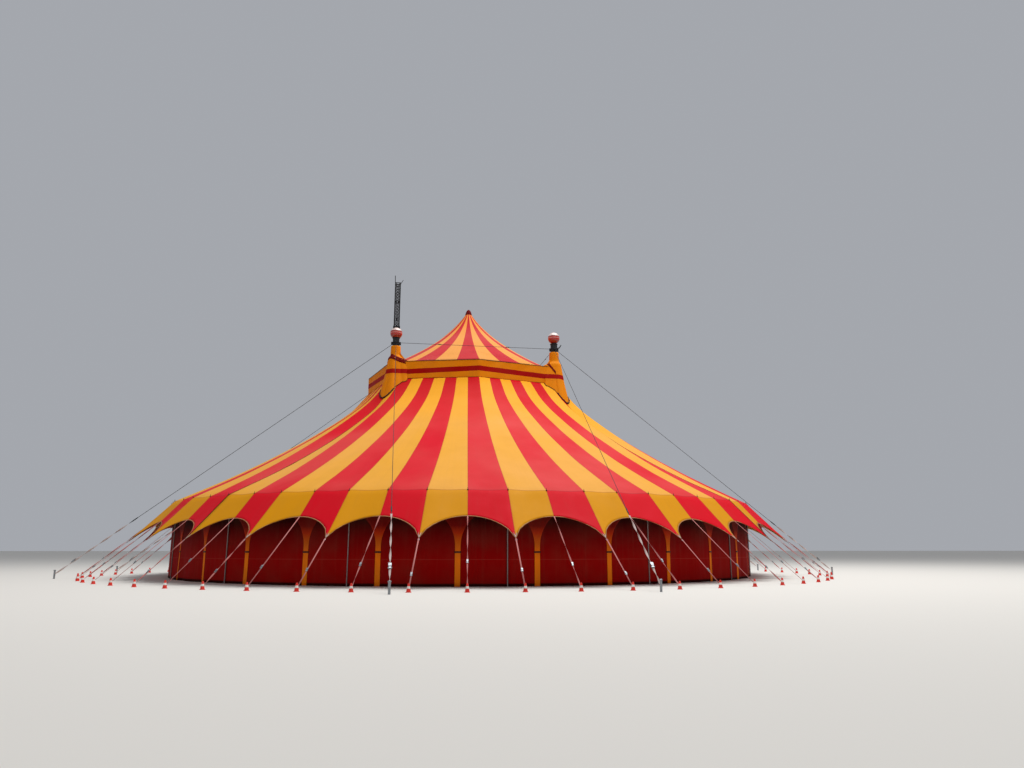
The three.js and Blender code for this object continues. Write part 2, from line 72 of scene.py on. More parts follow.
# Roof
KNEE_RADIUS = 9.8
KNEE_HEIGHT = 2.245
ROOF_INSET = 0.0064
ROOF_SAG = 1.19
ROOF_SAG_POWER = 0.55
ROOF_ROWS = 5
ROOF_ROW_POWER = 1.4
ROOF_CORNER_HEIGHT = 6.04
TIP_RADIUS = 10.925
TIP_HEIGHT = 1.095
SCALLOP_TOP_RADIUS = 10.33
SCALLOP_TOP_HEIGHT = 1.605
SCALLOP_POWER = 2.1
SCALLOP_END_POWER = 0.65
BILLOW = 0.010
KNEE_DIP = 0.005
KNEE_DIP_REACH = 0.07
CREASE = 0.008
CLOTH_COLUMNS = 8
SECTION_COLUMNS = CLOTH_COLUMNS * SECTION_EDGES
SLOPE_CLOTH_ROWS = 26
SLOPE_ROW_POWER = 1.3
VALANCE_CLOTH_ROWS = 10
VALANCE_END_POWER = 0.8
WELD_SHARE = 0.012
HEM_TAPE_TOP = 1.988
HEM_TAPE_SHARE = 0.012

# Lacing down the mast lines, and the poles' pins at the knee
LACING_START = 0.1
LACING_STEPS = 120
LACING_LIFT = 0.006
LACING_RADIUS = 0.003
STITCH_RADIUS = 0.0025
STITCH_SPACING = 0.08
STITCH_REACH = 0.022
STITCH_LEAN = 0.02
WASHER_RADIUS = 0.020
WASHER_BOTTOM = 0.004
WASHER_TOP = 0.008
PIN_RADIUS = 0.008
PIN_TOP_RADIUS = 0.005
PIN_HEIGHT = 0.055

# Cupola
CUPOLA_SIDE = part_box("cupola_skirt")[1].x
CUPOLA_CORNER = 2.865
SKIRT_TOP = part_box("cupola_skirt")[1].z
SKIRT_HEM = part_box("cupola_skirt")[0].z
SKIRT_DROP = 0.035
SKIRT_FLARE = 0.012
SKIRT_WRINKLE = 0.016
SKIRT_FINE_WRINKLE = 0.006
SKIRT_COLUMNS = STRIPES * 5
SKIRT_ROWS = 14
SKIRT_BAND_SHIFT = 0.05
SKIRT_BAND_RISE = 0.13
SKIRT_EDGING_TOP = 0.965
SKIRT_CORD_RADIUS = 0.006
CONE_TOP_RADIUS = 0.06
CONE_TOP_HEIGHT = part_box("cupola_roof")[1].z
CONE_FOOT_HEIGHT = SKIRT_TOP + 0.0084
CONE_STRAIGHT = 0.47
CONE_ROWS = 26
CONE_ROW_POWER = 1.5
CONE_SLACK = 0.008
CAP_GATHERS = 11
CAP_GATHER = 0.05
# From the hem up: shares of the solid cap's radius and height
CAP_PROFILE = (
    (1.42, -0.85), (1.36, -0.55), (1.22, -0.15), (1.06, 0.2), (0.9, 0.45),
    (0.7, 0.68), (0.46, 0.86), (0.22, 0.96), (0, 1),
)

# Masts
MAST_OFFSET = sum(corner.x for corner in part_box("front_right_mast")) / 2
MAST_WIDTH = 0.2
CHORD_WIDTH = 0.026
HEAD_BOTTOM = 7.545
HEAD_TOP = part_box("front_right_mast")[1].z
HEAD_RADIUS = 0.12
HEAD_RIM = 0.012
EXTENSION_TOP = 9.78
BRACE_FOOT = 0.05
BRACE_PITCH = 0.30
BRACE_RADIUS = 0.008
EXTENSION_BRACE_PITCH = 0.10
EXTENSION_BRACE_RADIUS = 0.012
CLAMP_HEIGHT = 0.09
CLAMP_DEPTH = 0.016
BALL_RADIUS = 0.205
BALL_ROWS = 18
LUG_SIZE = (0.05, 0.014, 0.11)
LUG_HEIGHT = 7.64
SHACKLE_HEIGHT = 7.66
SHACKLE_REACH = 0.022
SHACKLE_RADIUS = 0.012
ARM_HEIGHT = 7.70
ARM_RADIUS = 0.022
ARM_END_RADIUS = 0.014

# Sleeves round the masts, from the top down: height, radius outside and radius towards the cupola.
# The cloth hangs nearer the mast at its foot than the solid does, as the real one is drawn in
SLEEVE_PROFILE = (
    (7.535, 0.155, 0.155),
    (7.205, 0.166, 0.168),
    (7.105, 0.236, 0.280),
    (7.010, 0.249, 0.465),
    (6.470, 0.332, 0.485),
    (5.200, 0.620, 0.735),
)
SLEEVE_COLUMNS = 96
SLEEVE_ROWS = 40
SLEEVE_FOLDS_START = 7.15
SLEEVE_FOLDS_FULL = 0.5
SLEEVE_PLEAT = 0.030
SLEEVE_FOLD = 0.022
SLEEVE_GATHER = 0.003
SLEEVE_LOWEST = 5.3
SLEEVE_LIFT = 0.006
FOOT_SEARCH_TOP = 9
FOOT_SEARCH_STEPS = 22
SLEEVE_TRIM_TOP = 7.25
SLEEVE_TRIM_HEIGHT = 0.17
SLEEVE_TRIM_SPAN = 4.4
SLEEVE_TRIM_FALL = 0.24
FLAP_START = -1.9
FLAP_SPAN = 1.1
FLAP_FALL = 0.44
FLAP_SHARE = 0.6
TRIM_CRUMPLE = 0.012
SLEEVE_TRIM_LIFT = 0.010
HEM_CORD_RADIUS = 0.008
ROLL_RADIUS = 0.024
ROLL_REACH = 0.75
ROLL_RISE = 0.016
ROLL_LIFT = 0.012
KNOT_RADIUS = 0.036
KNOT_STEP = 6

# Walls
WALL_RADIUS = 9.715
WALL_LIFT = 0.003
WALL_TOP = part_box("wall_1")[1].z
WALL_STRIPES = 8
WALL_COLUMNS = 10
WALL_ROWS = 20
WALL_FOLD = 0.045
WALL_TOP_PULL = 0.6
DOOR_START = 31
DOOR_END = 33
EDGE_WIDTH = 2 * math.pi * WALL_RADIUS / STRIPES
PILLAR_EDGE = 0.77
PILLAR_HALF_WIDTH = 0.066
PILLAR_SPRING = 0.93
PILLAR_LIFT = 0.004
PILLAR_COLUMNS = 10
PILLAR_ROWS = 40
PILLAR_SHAFT_SHARE = 0.2
PILLAR_CROWN_SHARE = 0.95
PILLAR_MAP_WIDTH = 0.2
PILLAR_RING = 0.79
PILLAR_RING_HEIGHT = 0.04
PILLAR_RING_SHARE = 1.25
PILLAR_RING_LIFT = 0.007
SPANDREL_TOP = 1.88

# Straps from the valance tips to the stakes, and the cones over the stakes
STAKE_RADIUS = 12.1
STRAP_FOOT = 0.07
STRAP_WIDTH = 0.030
STRAP_LIFT = 0.006
STRAP_HALF_TURNS = 3
HEM_ROPE_RADIUS = 0.006
HEM_ROPE_LIFT = 0.007
TIP_RING_RADIUS = 0.022
TIP_RING_WIRE = 0.004
TIP_RING_SHARE = 0.03
TIP_PATCH_HALF_WIDTH = 0.032
TIP_PATCH_TOP = 1.96
TIP_PATCH_SHARE = 0.04
TIP_PATCH_LIFT = 0.007
RATCHET_BODY = (0.036, 0.022, 0.075)
RATCHET_HANDLE = (0.044, 0.008, 0.060)
RATCHET_BODY_PLACE = (0, 0.006, 0)
RATCHET_HANDLE_PLACE = (0, 0.020, -0.03)
RATCHET_PIN_PLACE = (0, 0.008, 0.02)
RATCHET_PIN_REACH = 0.026
RATCHET_PIN_RADIUS = 0.008
RATCHET_SHARE = 0.66
RATCHET_STEP = 0.04
MARKER_RADIUS = 0.060
MARKER_TOP_RADIUS = 0.016
MARKER_HEIGHT = 0.180
MARKER_FOOT_EDGE = 0.009
MARKER_FOOT_TOP = 0.014

# Cables from the mast heads
CABLE_RADIUS = 0.007
GUY_HEIGHT = 7.61
RING_HEIGHT = 7.67
COLLAR_THICKNESS = 0.014
COLLAR_HALF_HEIGHT = 0.015
COLLAR_MIDDLE = (HEAD_RADIUS + SEAT_GAP + COLLAR_THICKNESS / 2) * math.cos(math.pi / 8)
TURNBUCKLE_RADIUS = 0.016
TURNBUCKLE_EYE_RADIUS = 0.011
GUY_TURNBUCKLE_LENGTH = 0.16
RING_CLAMP_LENGTH = 0.09
RING_CLAMP_SHARES = (0.26, 0.71)
ANCHOR_REACH = 12.5
ANCHOR_SIDE = 2.75
ANCHOR_TOP = 0.26
ANCHOR_RADIUS = 0.026
ANCHOR_CAP_RADIUS = 0.036
GUY_STRAP_START = 0.80
GUY_STRAP_WIDTH = 0.045
GUY_STRAP_HALF_TURNS = 5
GUY_BUCKLE_SHARE = 0.95
GUY_BUCKLE_SCALE = 1.6

# Camera of the photograph, in the model's metres, and the stage
CAMERA_PLACE = (-2.865, -28.055, 0.85)
CAMERA_HEADING = 9.21
CAMERA_PITCH = 12.16
CAMERA_LENS = 27
CAMERA_SENSOR = 36
FLOOR_REACH = 450
LIGHT_PLACE = (7, -5, 33)
LIGHT_AIM = (0, 0, 3)
LIGHT_SIZE = 30
LIGHT_POWER = 12500
SKY_STRENGTH = 0.52


# Plan of the tent

def direction(edge):
    angle = edge / STRIPES * 2 * math.pi
    return Vector((math.sin(angle), -math.cos(angle), 0))


def chord_point(radius, edge):
    """A ring of straight chords between the even edges, which carry the poles."""
    start = 2 * math.floor(edge / 2)
    here = direction(start) * radius
    there = direction(start + 2) * radius
    return here.lerp(there, (edge - start) / 2)


def octagon_point(edge, inset):
    """The cupola's octagon, moved in by inset, at any edge round the tent."""
    quarter, column = divmod(edge, SECTION_EDGES)
    slope = math.atan2(CUPOLA_SIDE - CUPOLA_CORNER, CUPOLA_CORNER)
    side = CUPOLA_SIDE - inset / math.cos(slope)
    corner = CUPOLA_CORNER - inset / (math.cos(slope) + math.sin(slope))
    from_corner = abs(column - CORNER_EDGE) / CORNER_EDGE
    far = corner + (side - corner) * from_corner
    near = corner * (1 - from_corner)
    point = Vector((near, -far, 0)) if column <= CORNER_EDGE else Vector((far, -near, 0))
    return Matrix.Rotation(quarter * QUARTER_TURN, 3, "Z") @ point


def hem_point(edge, outward=0.0):
    """A scallop is flat at its top and turns down steeply beside the tips."""
    from_top = abs(edge % 2 - 1)
    share = 1 - max(0, 1 - from_top ** SCALLOP_POWER) ** SCALLOP_END_POWER
    radius = SCALLOP_TOP_RADIUS + (TIP_RADIUS - SCALLOP_TOP_RADIUS) * share + outward
    point = direction(edge) * radius
    point.z = SCALLOP_TOP_HEIGHT + (TIP_HEIGHT - SCALLOP_TOP_HEIGHT) * share
    return point


def slope_height(column, share):
    """The solid hangs in a curve from the skirt's hem, lower at the corners, to the knee."""
    to_corner = max(0, 1 - abs(column - CORNER_EDGE))
    inner = SKIRT_HEM - SEAT_GAP
    inner += (ROOF_CORNER_HEIGHT - inner) * to_corner
    sag = ROOF_SAG * share ** ROOF_SAG_POWER * (1 - share)
    return inner * (1 - share) + KNEE_HEIGHT * share - sag


def smooth_slope_height(column, share):
    """A curve through the heights of the solid's rows, with no kinks between them."""
    row = share ** (1 / ROOF_ROW_POWER) * ROOF_ROWS
    start = min(int(row), ROOF_ROWS - 1)
    rows = [min(max(start + step, 0), ROOF_ROWS) for step in (-1, 0, 1, 2)]
    shares = [(step / ROOF_ROWS) ** ROOF_ROW_POWER for step in rows]
    heights = [slope_height(column, step) for step in shares]
    width = shares[2] - shares[1]
    here = (share - shares[1]) / width
    slopes = []
    for left, right in ((0, 2), (1, 3)):
        run = shares[right] - shares[left]
        slopes.append((heights[right] - heights[left]) / run * width)
    start_weight = 2 * here ** 3 - 3 * here ** 2 + 1
    return (
        start_weight * heights[1]
        + (here ** 3 - 2 * here ** 2 + here) * slopes[0]
        + (1 - start_weight) * heights[2]
        + (here ** 3 - here ** 2) * slopes[1]
    )


def roof_point(edge, share):
    """The roof's upper face from one mast line, edge -8, to the next: 0 cupola, 1 knee, 2 hem."""
    column = abs(edge)
    knee = chord_point(KNEE_RADIUS, column)
    knee.z = KNEE_HEIGHT
    if share > 1:
        point = knee.lerp(hem_point(column), share - 1)
    else:
        point = octagon_point(column, ROOF_INSET).lerp(knee, share)
        point.z = smooth_slope_height(column, share)
    point.x *= 1 if edge >= 0 else -1
    return point


def roof_relief(point, edge, share):
    """How far tensioned cloth leaves its even surface: billows, the dip between poles and creases."""
    across = math.sin(math.pi * edge) ** 2
    billow = -BILLOW * across * min(1, share * 2)
    dip = -KNEE_DIP * across * math.exp(-((share - 1) / KNEE_DIP_REACH) ** 2)
    # Broad creases lie about 0.9 m apart, with finer ones 0.4 m apart
    creases = noise.noise(point * 1.1) + 0.5 * noise.noise(point * 2.7)
    return billow + dip + CREASE * creases * min(1, share * 3)


def roof_surface(edge, share, lift=0.0):
    """A point on the roof cloth, billows and creases included, or lifted off it."""
    point = roof_point(edge, share)
    point.z += roof_relief(point, edge, share) + lift
    return point


# Making pieces

def sheet_mesh(columns, rows, place, uv_of):
    """A grid of quads: place(u, v) gives each corner and uv_of(u, v) its place on the cloth."""
    mesh = bmesh.new()
    bmesh.ops.create_grid(mesh, x_segments=columns, y_segments=rows, size=0.5)
    layer = mesh.loops.layers.uv.new("cloth")
    for face in mesh.faces:
        for loop in face.loops:
            loop[layer].uv = uv_of(loop.vert.co.x + 0.5, 0.5 - loop.vert.co.y)
    for vert in mesh.verts:
        vert.co = place(vert.co.x + 0.5, 0.5 - vert.co.y)
    return mesh


def flat_map(u, v):
    return (u, v)


def turn(mesh, angle):
    bmesh.ops.rotate(mesh, verts=mesh.verts, cent=(0, 0, 0), matrix=Matrix.Rotation(angle, 3, "Z"))
    return mesh


def move(mesh, step):
    bmesh.ops.translate(mesh, verts=mesh.verts, vec=step)
    return mesh


def close_seams(mesh):
    bmesh.ops.remove_doubles(mesh, verts=mesh.verts, dist=1e-5)
    return mesh


def append(mesh, part, matrix=Matrix.Identity(4)):
    """Adds a part to a mesh, at the place that a matrix gives it."""
    data = bpy.data.meshes.new("part")
    part.to_mesh(data)
    data.transform(matrix)
    mesh.from_mesh(data)
    bpy.data.meshes.remove(data)
    return mesh


def make_piece(name, mesh, material, node=None, thickness=0.0, offset=-1.0):
    """A mesh becomes a named piece that rides on the tent, and may stand for a CAD node."""
    data = bpy.data.meshes.new(name)
    mesh.to_mesh(data)
    mesh.free()
    data.materials.append(material)
    data.shade_smooth()
    data.set_sharp_from_angle(angle=math.radians(SHARP_ANGLE))
    piece = bpy.data.objects.new(name, data)
    bpy.context.scene.collection.objects.link(piece)
    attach(piece, "root")
    if node:
        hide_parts(node)
    if thickness:
        solidify = piece.modifiers.new("cloth thickness", "SOLIDIFY")
        solidify.thickness = thickness
        solidify.offset = offset
    return piece


def make_cloth(name, mesh, material, node, angle=0.0, offset=-1.0):
    """A cloth that stands for a CAD node, and its area, taken before it gets its thickness."""
    area = sum(face.calc_area() for face in mesh.faces)
    turn(mesh, angle)
    return make_piece(name, mesh, material, node, CLOTH_THICKNESS, offset), area


def rod(mesh, start, end, radius, sides=8, end_radius=None):
    """A round bar from start to end, added to a mesh."""
    along = end - start
    matrix = Matrix.Translation((start + end) / 2) @ along.to_track_quat("Z", "Y").to_matrix().to_4x4()
    bmesh.ops.create_cone(
        mesh,
        cap_ends=True,
        segments=sides,
        radius1=radius,
        radius2=radius if end_radius is None else end_radius,
        depth=along.length,
        matrix=matrix,
    )
    return mesh


def block(mesh, size, matrix):
    """A box with rounded edges, added to a mesh at the place that a matrix gives it."""
    part = bmesh.new()
    bmesh.ops.create_cube(part, size=1)
    bmesh.ops.scale(part, verts=part.verts, vec=size)
    bmesh.ops.bevel(
        part, geom=part.edges[:], offset=BLOCK_BEVEL, segments=1, affect="EDGES",
        profile=0.5, material=-1)
    append(mesh, part, matrix)
    part.free()
    return mesh


def turned(profile, segments):
    """A shape spun round the vertical from its radii and heights."""
    mesh = bmesh.new()
    verts = [mesh.verts.new((radius, 0, height)) for radius, height in profile]
    for pair in zip(verts, verts[1:]):
        mesh.edges.new(pair)
    bmesh.ops.spin(
        mesh,
        geom=mesh.verts[:] + mesh.edges[:],
        cent=(0, 0, 0),
        axis=(0, 0, 1),
        dvec=(0, 0, 0),
        angle=2 * math.pi,
        steps=segments,
        use_merge=True,
        use_normal_flip=False,
        use_duplicate=False,
    )
    close_seams(mesh)
    bmesh.ops.recalc_face_normals(mesh, faces=mesh.faces)
    return mesh


def turned_ring(inner, outer, low, high, segments):
    """A ring with a square section."""
    corners = [(inner, low), (outer, low), (outer, high), (inner, high), (inner, low)]
    return turned(corners, segments)


def tube(mesh, points, radius, sides=6):
    """A cord along a line of points, added to a mesh."""
    curve = bpy.data.curves.new("path", "CURVE")
    curve.dimensions = "3D"
    curve.bevel_depth = radius
    curve.bevel_resolution = (sides - 4) // 2
    curve.use_fill_caps = True
    spline = curve.splines.new("POLY")
    spline.points.add(len(points) - 1)
    for spot, point in zip(spline.points, points):
        spot.co = (*point, 1)
    holder = bpy.data.objects.new("path", curve)
    part = bmesh.new()
    part.from_mesh(holder.to_mesh())
    holder.to_mesh_clear()
    bpy.data.objects.remove(holder)
    bpy.data.curves.remove(curve)
    close_seams(part)
    bmesh.ops.recalc_face_normals(part, faces=part.faces)
    append(mesh, part)
    part.free()
    return mesh


def flat_strap(start, end, width, half_turns=0, rows=2):
    """Flat webbing from start to end, with half turns where the wind has turned it over."""
    along = (end - start).normalized()
    level = along.cross(UP).normalized()
    upright = level.cross(along)

    def place(u, v):
        angle = math.pi * half_turns * v
        side = level * math.cos(angle) + upright * math.sin(angle)
        return start.lerp(end, v) + side * (u - 0.5) * width

    length = (end - start).length
    return sheet_mesh(2, rows, place, lambda u, v: (u * width, v * length))


# Materials

def srgb(text):
    """A hex colour as the linear colour that shaders take."""
    channels = [int(text[i:i + 2], 16) / 255 for i in (1, 3, 5)]
    linear = [c / 12.92 if c <= 0.04045 else ((c + 0.055) / 1.055) ** 2.4 for c in channels]
    return (*linear, 1.0)


def set_inputs(node, inputs):
    """Inputs, by name or number, take a value or a link: from a socket, or a node's first output."""
    in_use = [socket for socket in node.inputs if socket.enabled]
    for key, value in inputs.items():
        socket = in_use[key] if isinstance(key, int) else next(s for s in in_use if s.name == key)
        if isinstance(value, bpy.types.Node):
            value = next(output for output in value.outputs if output.enabled)
        if isinstance(value, bpy.types.NodeSocket):
            node.id_data.links.new(value, socket)
        else:
            socket.default_value = value


def add_node(tree, kind, inputs=None, **settings):
    """One node, with its settings, and its inputs set to values or linked."""
    node = tree.nodes.new("ShaderNode" + kind)
    for name, value in settings.items():
        setattr(node, name, value)
    set_inputs(node, inputs or {})
    return node


def new_material(name, inputs):
    """A material with one shader, and its even values on the shader's own sockets."""
    material = bpy.data.materials.new(name)
    material.use_nodes = True
    shader = material.node_tree.nodes["Principled BSDF"]
    set_inputs(shader, inputs)
    return material, shader


def pattern_places(tree, base_of):
    """The places that patterns read, the tent's own and the piece's map, and the colour under them."""
    place = add_node(tree, "TexCoord").outputs["Object"]
    uv = add_node(tree, "UVMap", uv_map="cloth").outputs["UV"]
    base = base_of(tree, uv) if callable(base_of) else srgb(base_of)
    return place, uv, base


def coated_cloth(name, base_of, roughness, gloss=0.08, dirt=0.1):
    """Woven polyester with a calendered coating: creased by folding, dusty, and streaked by rain."""
    material, shader = new_material(name, {"Specular IOR Level": gloss})
    tree = material.node_tree
    place, uv, base = pattern_places(tree, base_of)
    # Dust lies in clouds about 600 mm across
    clouds = add_node(tree, "TexNoise", {"Vector": place, "Scale": 1.7, "Detail": 5.0})
    dusty = add_node(
        tree, "MapRange", {"Value": clouds, "From Min": 0.42, "From Max": 0.72, "To Max": dirt})
    # Rain leaves streaks down the cloth, 40 to 100 mm wide
    stretched = add_node(tree, "Mapping", {"Vector": uv, "Scale": (9.0, 0.9, 1.0)})
    streaks = add_node(
        tree, "TexNoise", {"Vector": stretched, "Scale": 1.0, "Detail": 4.0, "Roughness": 0.6})
    streaky = add_node(
        tree, "MapRange", {"Value": streaks, "From Min": 0.5, "From Max": 0.8, "To Max": dirt})
    grime = add_node(tree, "Math", {0: dusty, 1: streaky}, operation="ADD")
    soiled = add_node(
        tree, "Mix", {"Factor": grime, "A": base, "B": srgb("#6B5A48")}, data_type="RGBA")
    rough = add_node(
        tree, "MapRange",
        {"Value": clouds, "From Min": 0.3, "From Max": 0.7,
         "To Min": roughness - 0.06, "To Max": roughness + 0.1},
    )
    # Fold creases about 120 mm apart
    folds = add_node(
        tree, "TexNoise", {"Vector": place, "Scale": 8.0, "Detail": 3.0, "Distortion": 0.6})
    creased = add_node(tree, "Bump", {"Height": folds, "Strength": 0.35, "Distance": 0.006})
    # The threads lie 1 mm apart, drawn 12 mm apart so that they show
    threads = add_node(tree, "TexNoise", {"Vector": place, "Scale": 80.0, "Detail": 1.0})
    woven = add_node(
        tree, "Bump", {"Height": threads, "Strength": 0.08, "Distance": 0.002, "Normal": creased})
    set_inputs(shader, {"Base Color": soiled, "Roughness": rough, "Normal": woven})
    return material


def stripes_of(top, slope, valance):
    """Red and yellow gores, one to each whole step across the cloth, paler down the slope from sun
    bleaching and from a painted sheen of the sky.
    """
    def base(tree, uv):
        split = add_node(tree, "SeparateXYZ", {"Vector": uv})
        pair = add_node(tree, "Math", {0: split.outputs["X"], 1: 0.5}, operation="MULTIPLY")
        inside = add_node(tree, "Math", {0: pair}, operation="FRACT")
        is_red = add_node(tree, "Math", {0: inside, 1: 0.5}, operation="GREATER_THAN")
        upper, sunned_and_sheened, fresh_and_unsheened = [
            add_node(
                tree, "Mix", {"Factor": is_red, "A": srgb(yellow), "B": srgb(red)},
                data_type="RGBA")
            for red, yellow in (top, slope, valance)
        ]
        # The sun has bleached the slope in patches 3 to 4 m across
        spot = add_node(tree, "TexCoord").outputs["Object"]
        patches = add_node(tree, "TexNoise", {"Vector": spot, "Scale": 0.28, "Detail": 3.0})
        patchy = add_node(
            tree, "MapRange", {"Value": patches, "From Min": 0.38, "From Max": 0.62, "To Max": 0.09})
        bleached_and_sheened = add_node(
            tree, "Mix", {"Factor": patchy, "A": sunned_and_sheened, "B": srgb("#F2B49C")}, data_type="RGBA")
        # The cloth is fresher and deeper in colour close under the cupola and on the valance below the
        # knee; the slope between is paler, partly from sun bleaching and partly as a painted sheen of
        # the sky, as the slope faces up
        down = add_node(tree, "MapRange", {"Value": split.outputs["Y"], "From Max": 0.35})
        faded_and_sheened = add_node(
            tree, "Mix", {"Factor": down, "A": upper, "B": bleached_and_sheened}, data_type="RGBA")
        below = add_node(tree, "MapRange", {"Value": split.outputs["Y"], "From Min": 0.996})
        gores = add_node(tree, "Mix", {"Factor": below, "A": faded_and_sheened, "B": fresh_and_unsheened}, data_type="RGBA")
        # The weld between two gores is a doubled strip, a little darker than the cloth
        step = add_node(tree, "Math", {0: split.outputs["X"]}, operation="FRACT")
        off_middle = add_node(tree, "Math", {0: step, 1: 0.5}, operation="SUBTRACT")
        aside = add_node(tree, "Math", {0: off_middle}, operation="ABSOLUTE")
        weld = add_node(
            tree, "MapRange",
            {"Value": aside, "From Min": 0.5 - 2 * WELD_SHARE, "From Max": 0.5 - WELD_SHARE,
             "To Max": 0.22},
        )
        # A dark line runs along the knee: stitching, and painted shade of the fold there
        off_knee = add_node(tree, "Math", {0: split.outputs["Y"], 1: 1.0}, operation="SUBTRACT")
        from_knee = add_node(tree, "Math", {0: off_knee}, operation="ABSOLUTE")
        knee_stitching_and_fold_shade = add_node(
            tree, "MapRange",
            {"Value": from_knee, "From Min": 0.003, "From Max": 0.006, "To Min": 0.35, "To Max": 0.0},
        )
        seams_and_knee_shade = add_node(tree, "Math", {0: weld, 1: knee_stitching_and_fold_shade}, operation="MAXIMUM")
        return add_node(
            tree, "Mix", {"Factor": seams_and_knee_shade, "A": gores, "B": srgb("#7A1420")}, data_type="RGBA")
    return base


def belts(*stops, blend="CONSTANT"):
    """Bands of colour one above another, each from its own height on the piece's map."""
    def base(tree, uv):
        height = add_node(tree, "SeparateXYZ", {"Vector": uv}).outputs["Y"]
        ramp = add_node(tree, "ValToRGB", {"Fac": height})
        ramp.color_ramp.interpolation = blend
        elements = ramp.color_ramp.elements
        elements.remove(elements[1])
        elements[0].position, first_colour = stops[0]
        elements[0].color = srgb(first_colour)
        for place, colour in stops[1:]:
            elements.new(place).color = srgb(colour)
        return ramp
    return base


def hard_finish(name, base_of, roughness, spots, spot_share, spots_a_metre, **even_values):
    """Steel, paint, plastic or cord with blotches of another tone, and scuffs nine times finer."""
    inputs = {socket.replace("_", " "): value for socket, value in even_values.items()}
    material, shader = new_material(name, inputs)
    tree = material.node_tree
    place, uv, base = pattern_places(tree, base_of)
    blotches = add_node(
        tree, "TexNoise", {"Vector": place, "Scale": spots_a_metre, "Detail": 6.0})
    amount = add_node(
        tree, "MapRange",
        {"Value": blotches, "From Min": 0.5, "From Max": 0.75, "To Max": spot_share})
    mixed = add_node(tree, "Mix", {"Factor": amount, "A": base, "B": srgb(spots)}, data_type="RGBA")
    rough = add_node(
        tree, "MapRange",
        {"Value": blotches, "To Min": roughness - 0.1, "To Max": roughness + 0.15})
    scuffs = add_node(
        tree, "TexNoise", {"Vector": place, "Scale": spots_a_metre * 9, "Detail": 3.0})
    bump = add_node(tree, "Bump", {"Height": scuffs, "Strength": 0.2, "Distance": 0.001})
    set_inputs(shader, {"Base Color": mixed, "Roughness": rough, "Normal": bump})
    return material


# PVC-coated polyester gives the roof its satin, saturated stripes; the slope's pair is paler, partly
# as a painted sheen of the sky
roof_cloth = coated_cloth(
    "striped_coated_polyester",
    stripes_of(
        top=("#C6000E", "#EC9F14"), slope=("#D00420", "#E19F31"), valance=("#D4001A", "#D68F02")),
    roughness=0.6, dirt=0.05,
)
# The cupola's gores are of the same cloth, bleached further
cupola_stripes = coated_cloth(
    "bleached_striped_polyester",
    stripes_of(
        top=("#AE0119", "#D9822F"), slope=("#B2051F", "#D38C3A"), valance=("#B2051F", "#D38C3A")),
    roughness=0.6, dirt=0.05,
)
# The same cloth in orange-yellow, with a dark red band welded on
skirt_cloth = coated_cloth(
    "orange_coated_polyester",
    belts((0.0, "#E68601"), (0.39, "#A20000"), (0.665, "#E68601")),
    roughness=0.6, dirt=0.06,
)
# The trims and the cap are of fresher cloth, so they look deep and even
trim_cloth = coated_cloth("dark_red_trim_cloth", "#6E0204", roughness=0.6, dirt=0.04)
cap_cloth = coated_cloth("dark_red_cap_cloth", "#620206", roughness=0.7, dirt=0.04)
# Uncoated on its face, the wall is matt, with a weld line along it and a darker foot; above the weld
# line its colour darkens to almost black at the top, as painted shade under the valance
wall_cloth = coated_cloth(
    "dark_red_wall_cloth",
    belts(
        (0.0, "#380202"), (0.025, "#380202"), (0.035, "#9A0100"), (0.2733, "#9A0100"),
        (0.2740, "#A03028"), (0.2790, "#A03028"), (0.2797, "#980100"), (0.5, "#740001"),
        (0.68, "#340000"), (0.8, "#080000"),
        blend="LINEAR",
    ),
    roughness=0.8, gloss=0.06,
)
# The sewn-on pillars are orange, bright on the shaft, and their colour turns dark and red up the
# arches as painted shade under the valance
pillar_cloth = coated_cloth(
    "orange_pillar_cloth",
    belts(
        (0.0, "#FF860C"), (0.325, "#FF800C"), (0.53, "#CC5C06"), (0.655, "#B42D02"),
        (0.745, "#760802"), (1.0, "#3A0202"),
        blend="LINEAR",
    ),
    roughness=0.7,
)
ring_cloth = coated_cloth("dark_pillar_ring_cloth", "#3A1008", roughness=0.6, gloss=0.3)
# Woven tape is rougher than the coated cloth, and greyed by weather
# The hem tape is pale partly as a painted highlight, where the scallops' edge catches the light
hem_tape = coated_cloth("pale_hem_tape_with_painted_highlight", "#C89A70", roughness=0.8)
hem_rope_cover = coated_cloth("brown_hem_rope", "#8A5030", roughness=0.8)
strap_webbing = coated_cloth("faded_red_webbing", "#BC7672", roughness=0.8, gloss=0.1)
white_webbing = coated_cloth("grey_white_webbing", "#C4B0AA", roughness=0.8, gloss=0.1)
# Laid cord is dull and almost black, or dark red on the roof and the sleeves
black_cord = hard_finish("black_lacing_cord", "#171310", 0.8, "#3A332E", 0.5, 30.0)
red_cord = hard_finish("dark_red_hem_cord", "#3A0C08", 0.8, "#1C0A08", 0.5, 30.0)
# Hot-dip zinc has a pale grey sheen with darker spangles
zinc = hard_finish("galvanised_steel", "#9A9DA0", 0.42, "#6E7276", 0.6, 18.0, Metallic=0.9)
# The side poles' zinc has weathered to a dull brownish grey
pole_steel = hard_finish(
    "weathered_pole_steel", "#8E7E7A", 0.5, "#5A4440", 0.5, 14.0, Metallic=0.2)
# Brushed-on enamel leaves the masts black, with some rust showing through
mast_enamel = hard_finish("black_enamelled_steel", "#0B0B0E", 0.45, "#2A1C16", 0.3, 9.0)
# Greased strands make the cables dark with a dull metal gleam
wire = hard_finish("steel_wire_rope", "#34363A", 0.5, "#1E1F22", 0.7, 60.0, Metallic=0.8)
# Moulded plastic is evenly bright, with a white band and scuffed patches
cone_plastic = hard_finish(
    "orange_red_moulded_plastic",
    belts((0.0, "#E0301E"), (0.42, "#E8E4DC"), (0.68, "#E0301E")),
    0.45, "#A8281C", 0.3, 12.0,
)
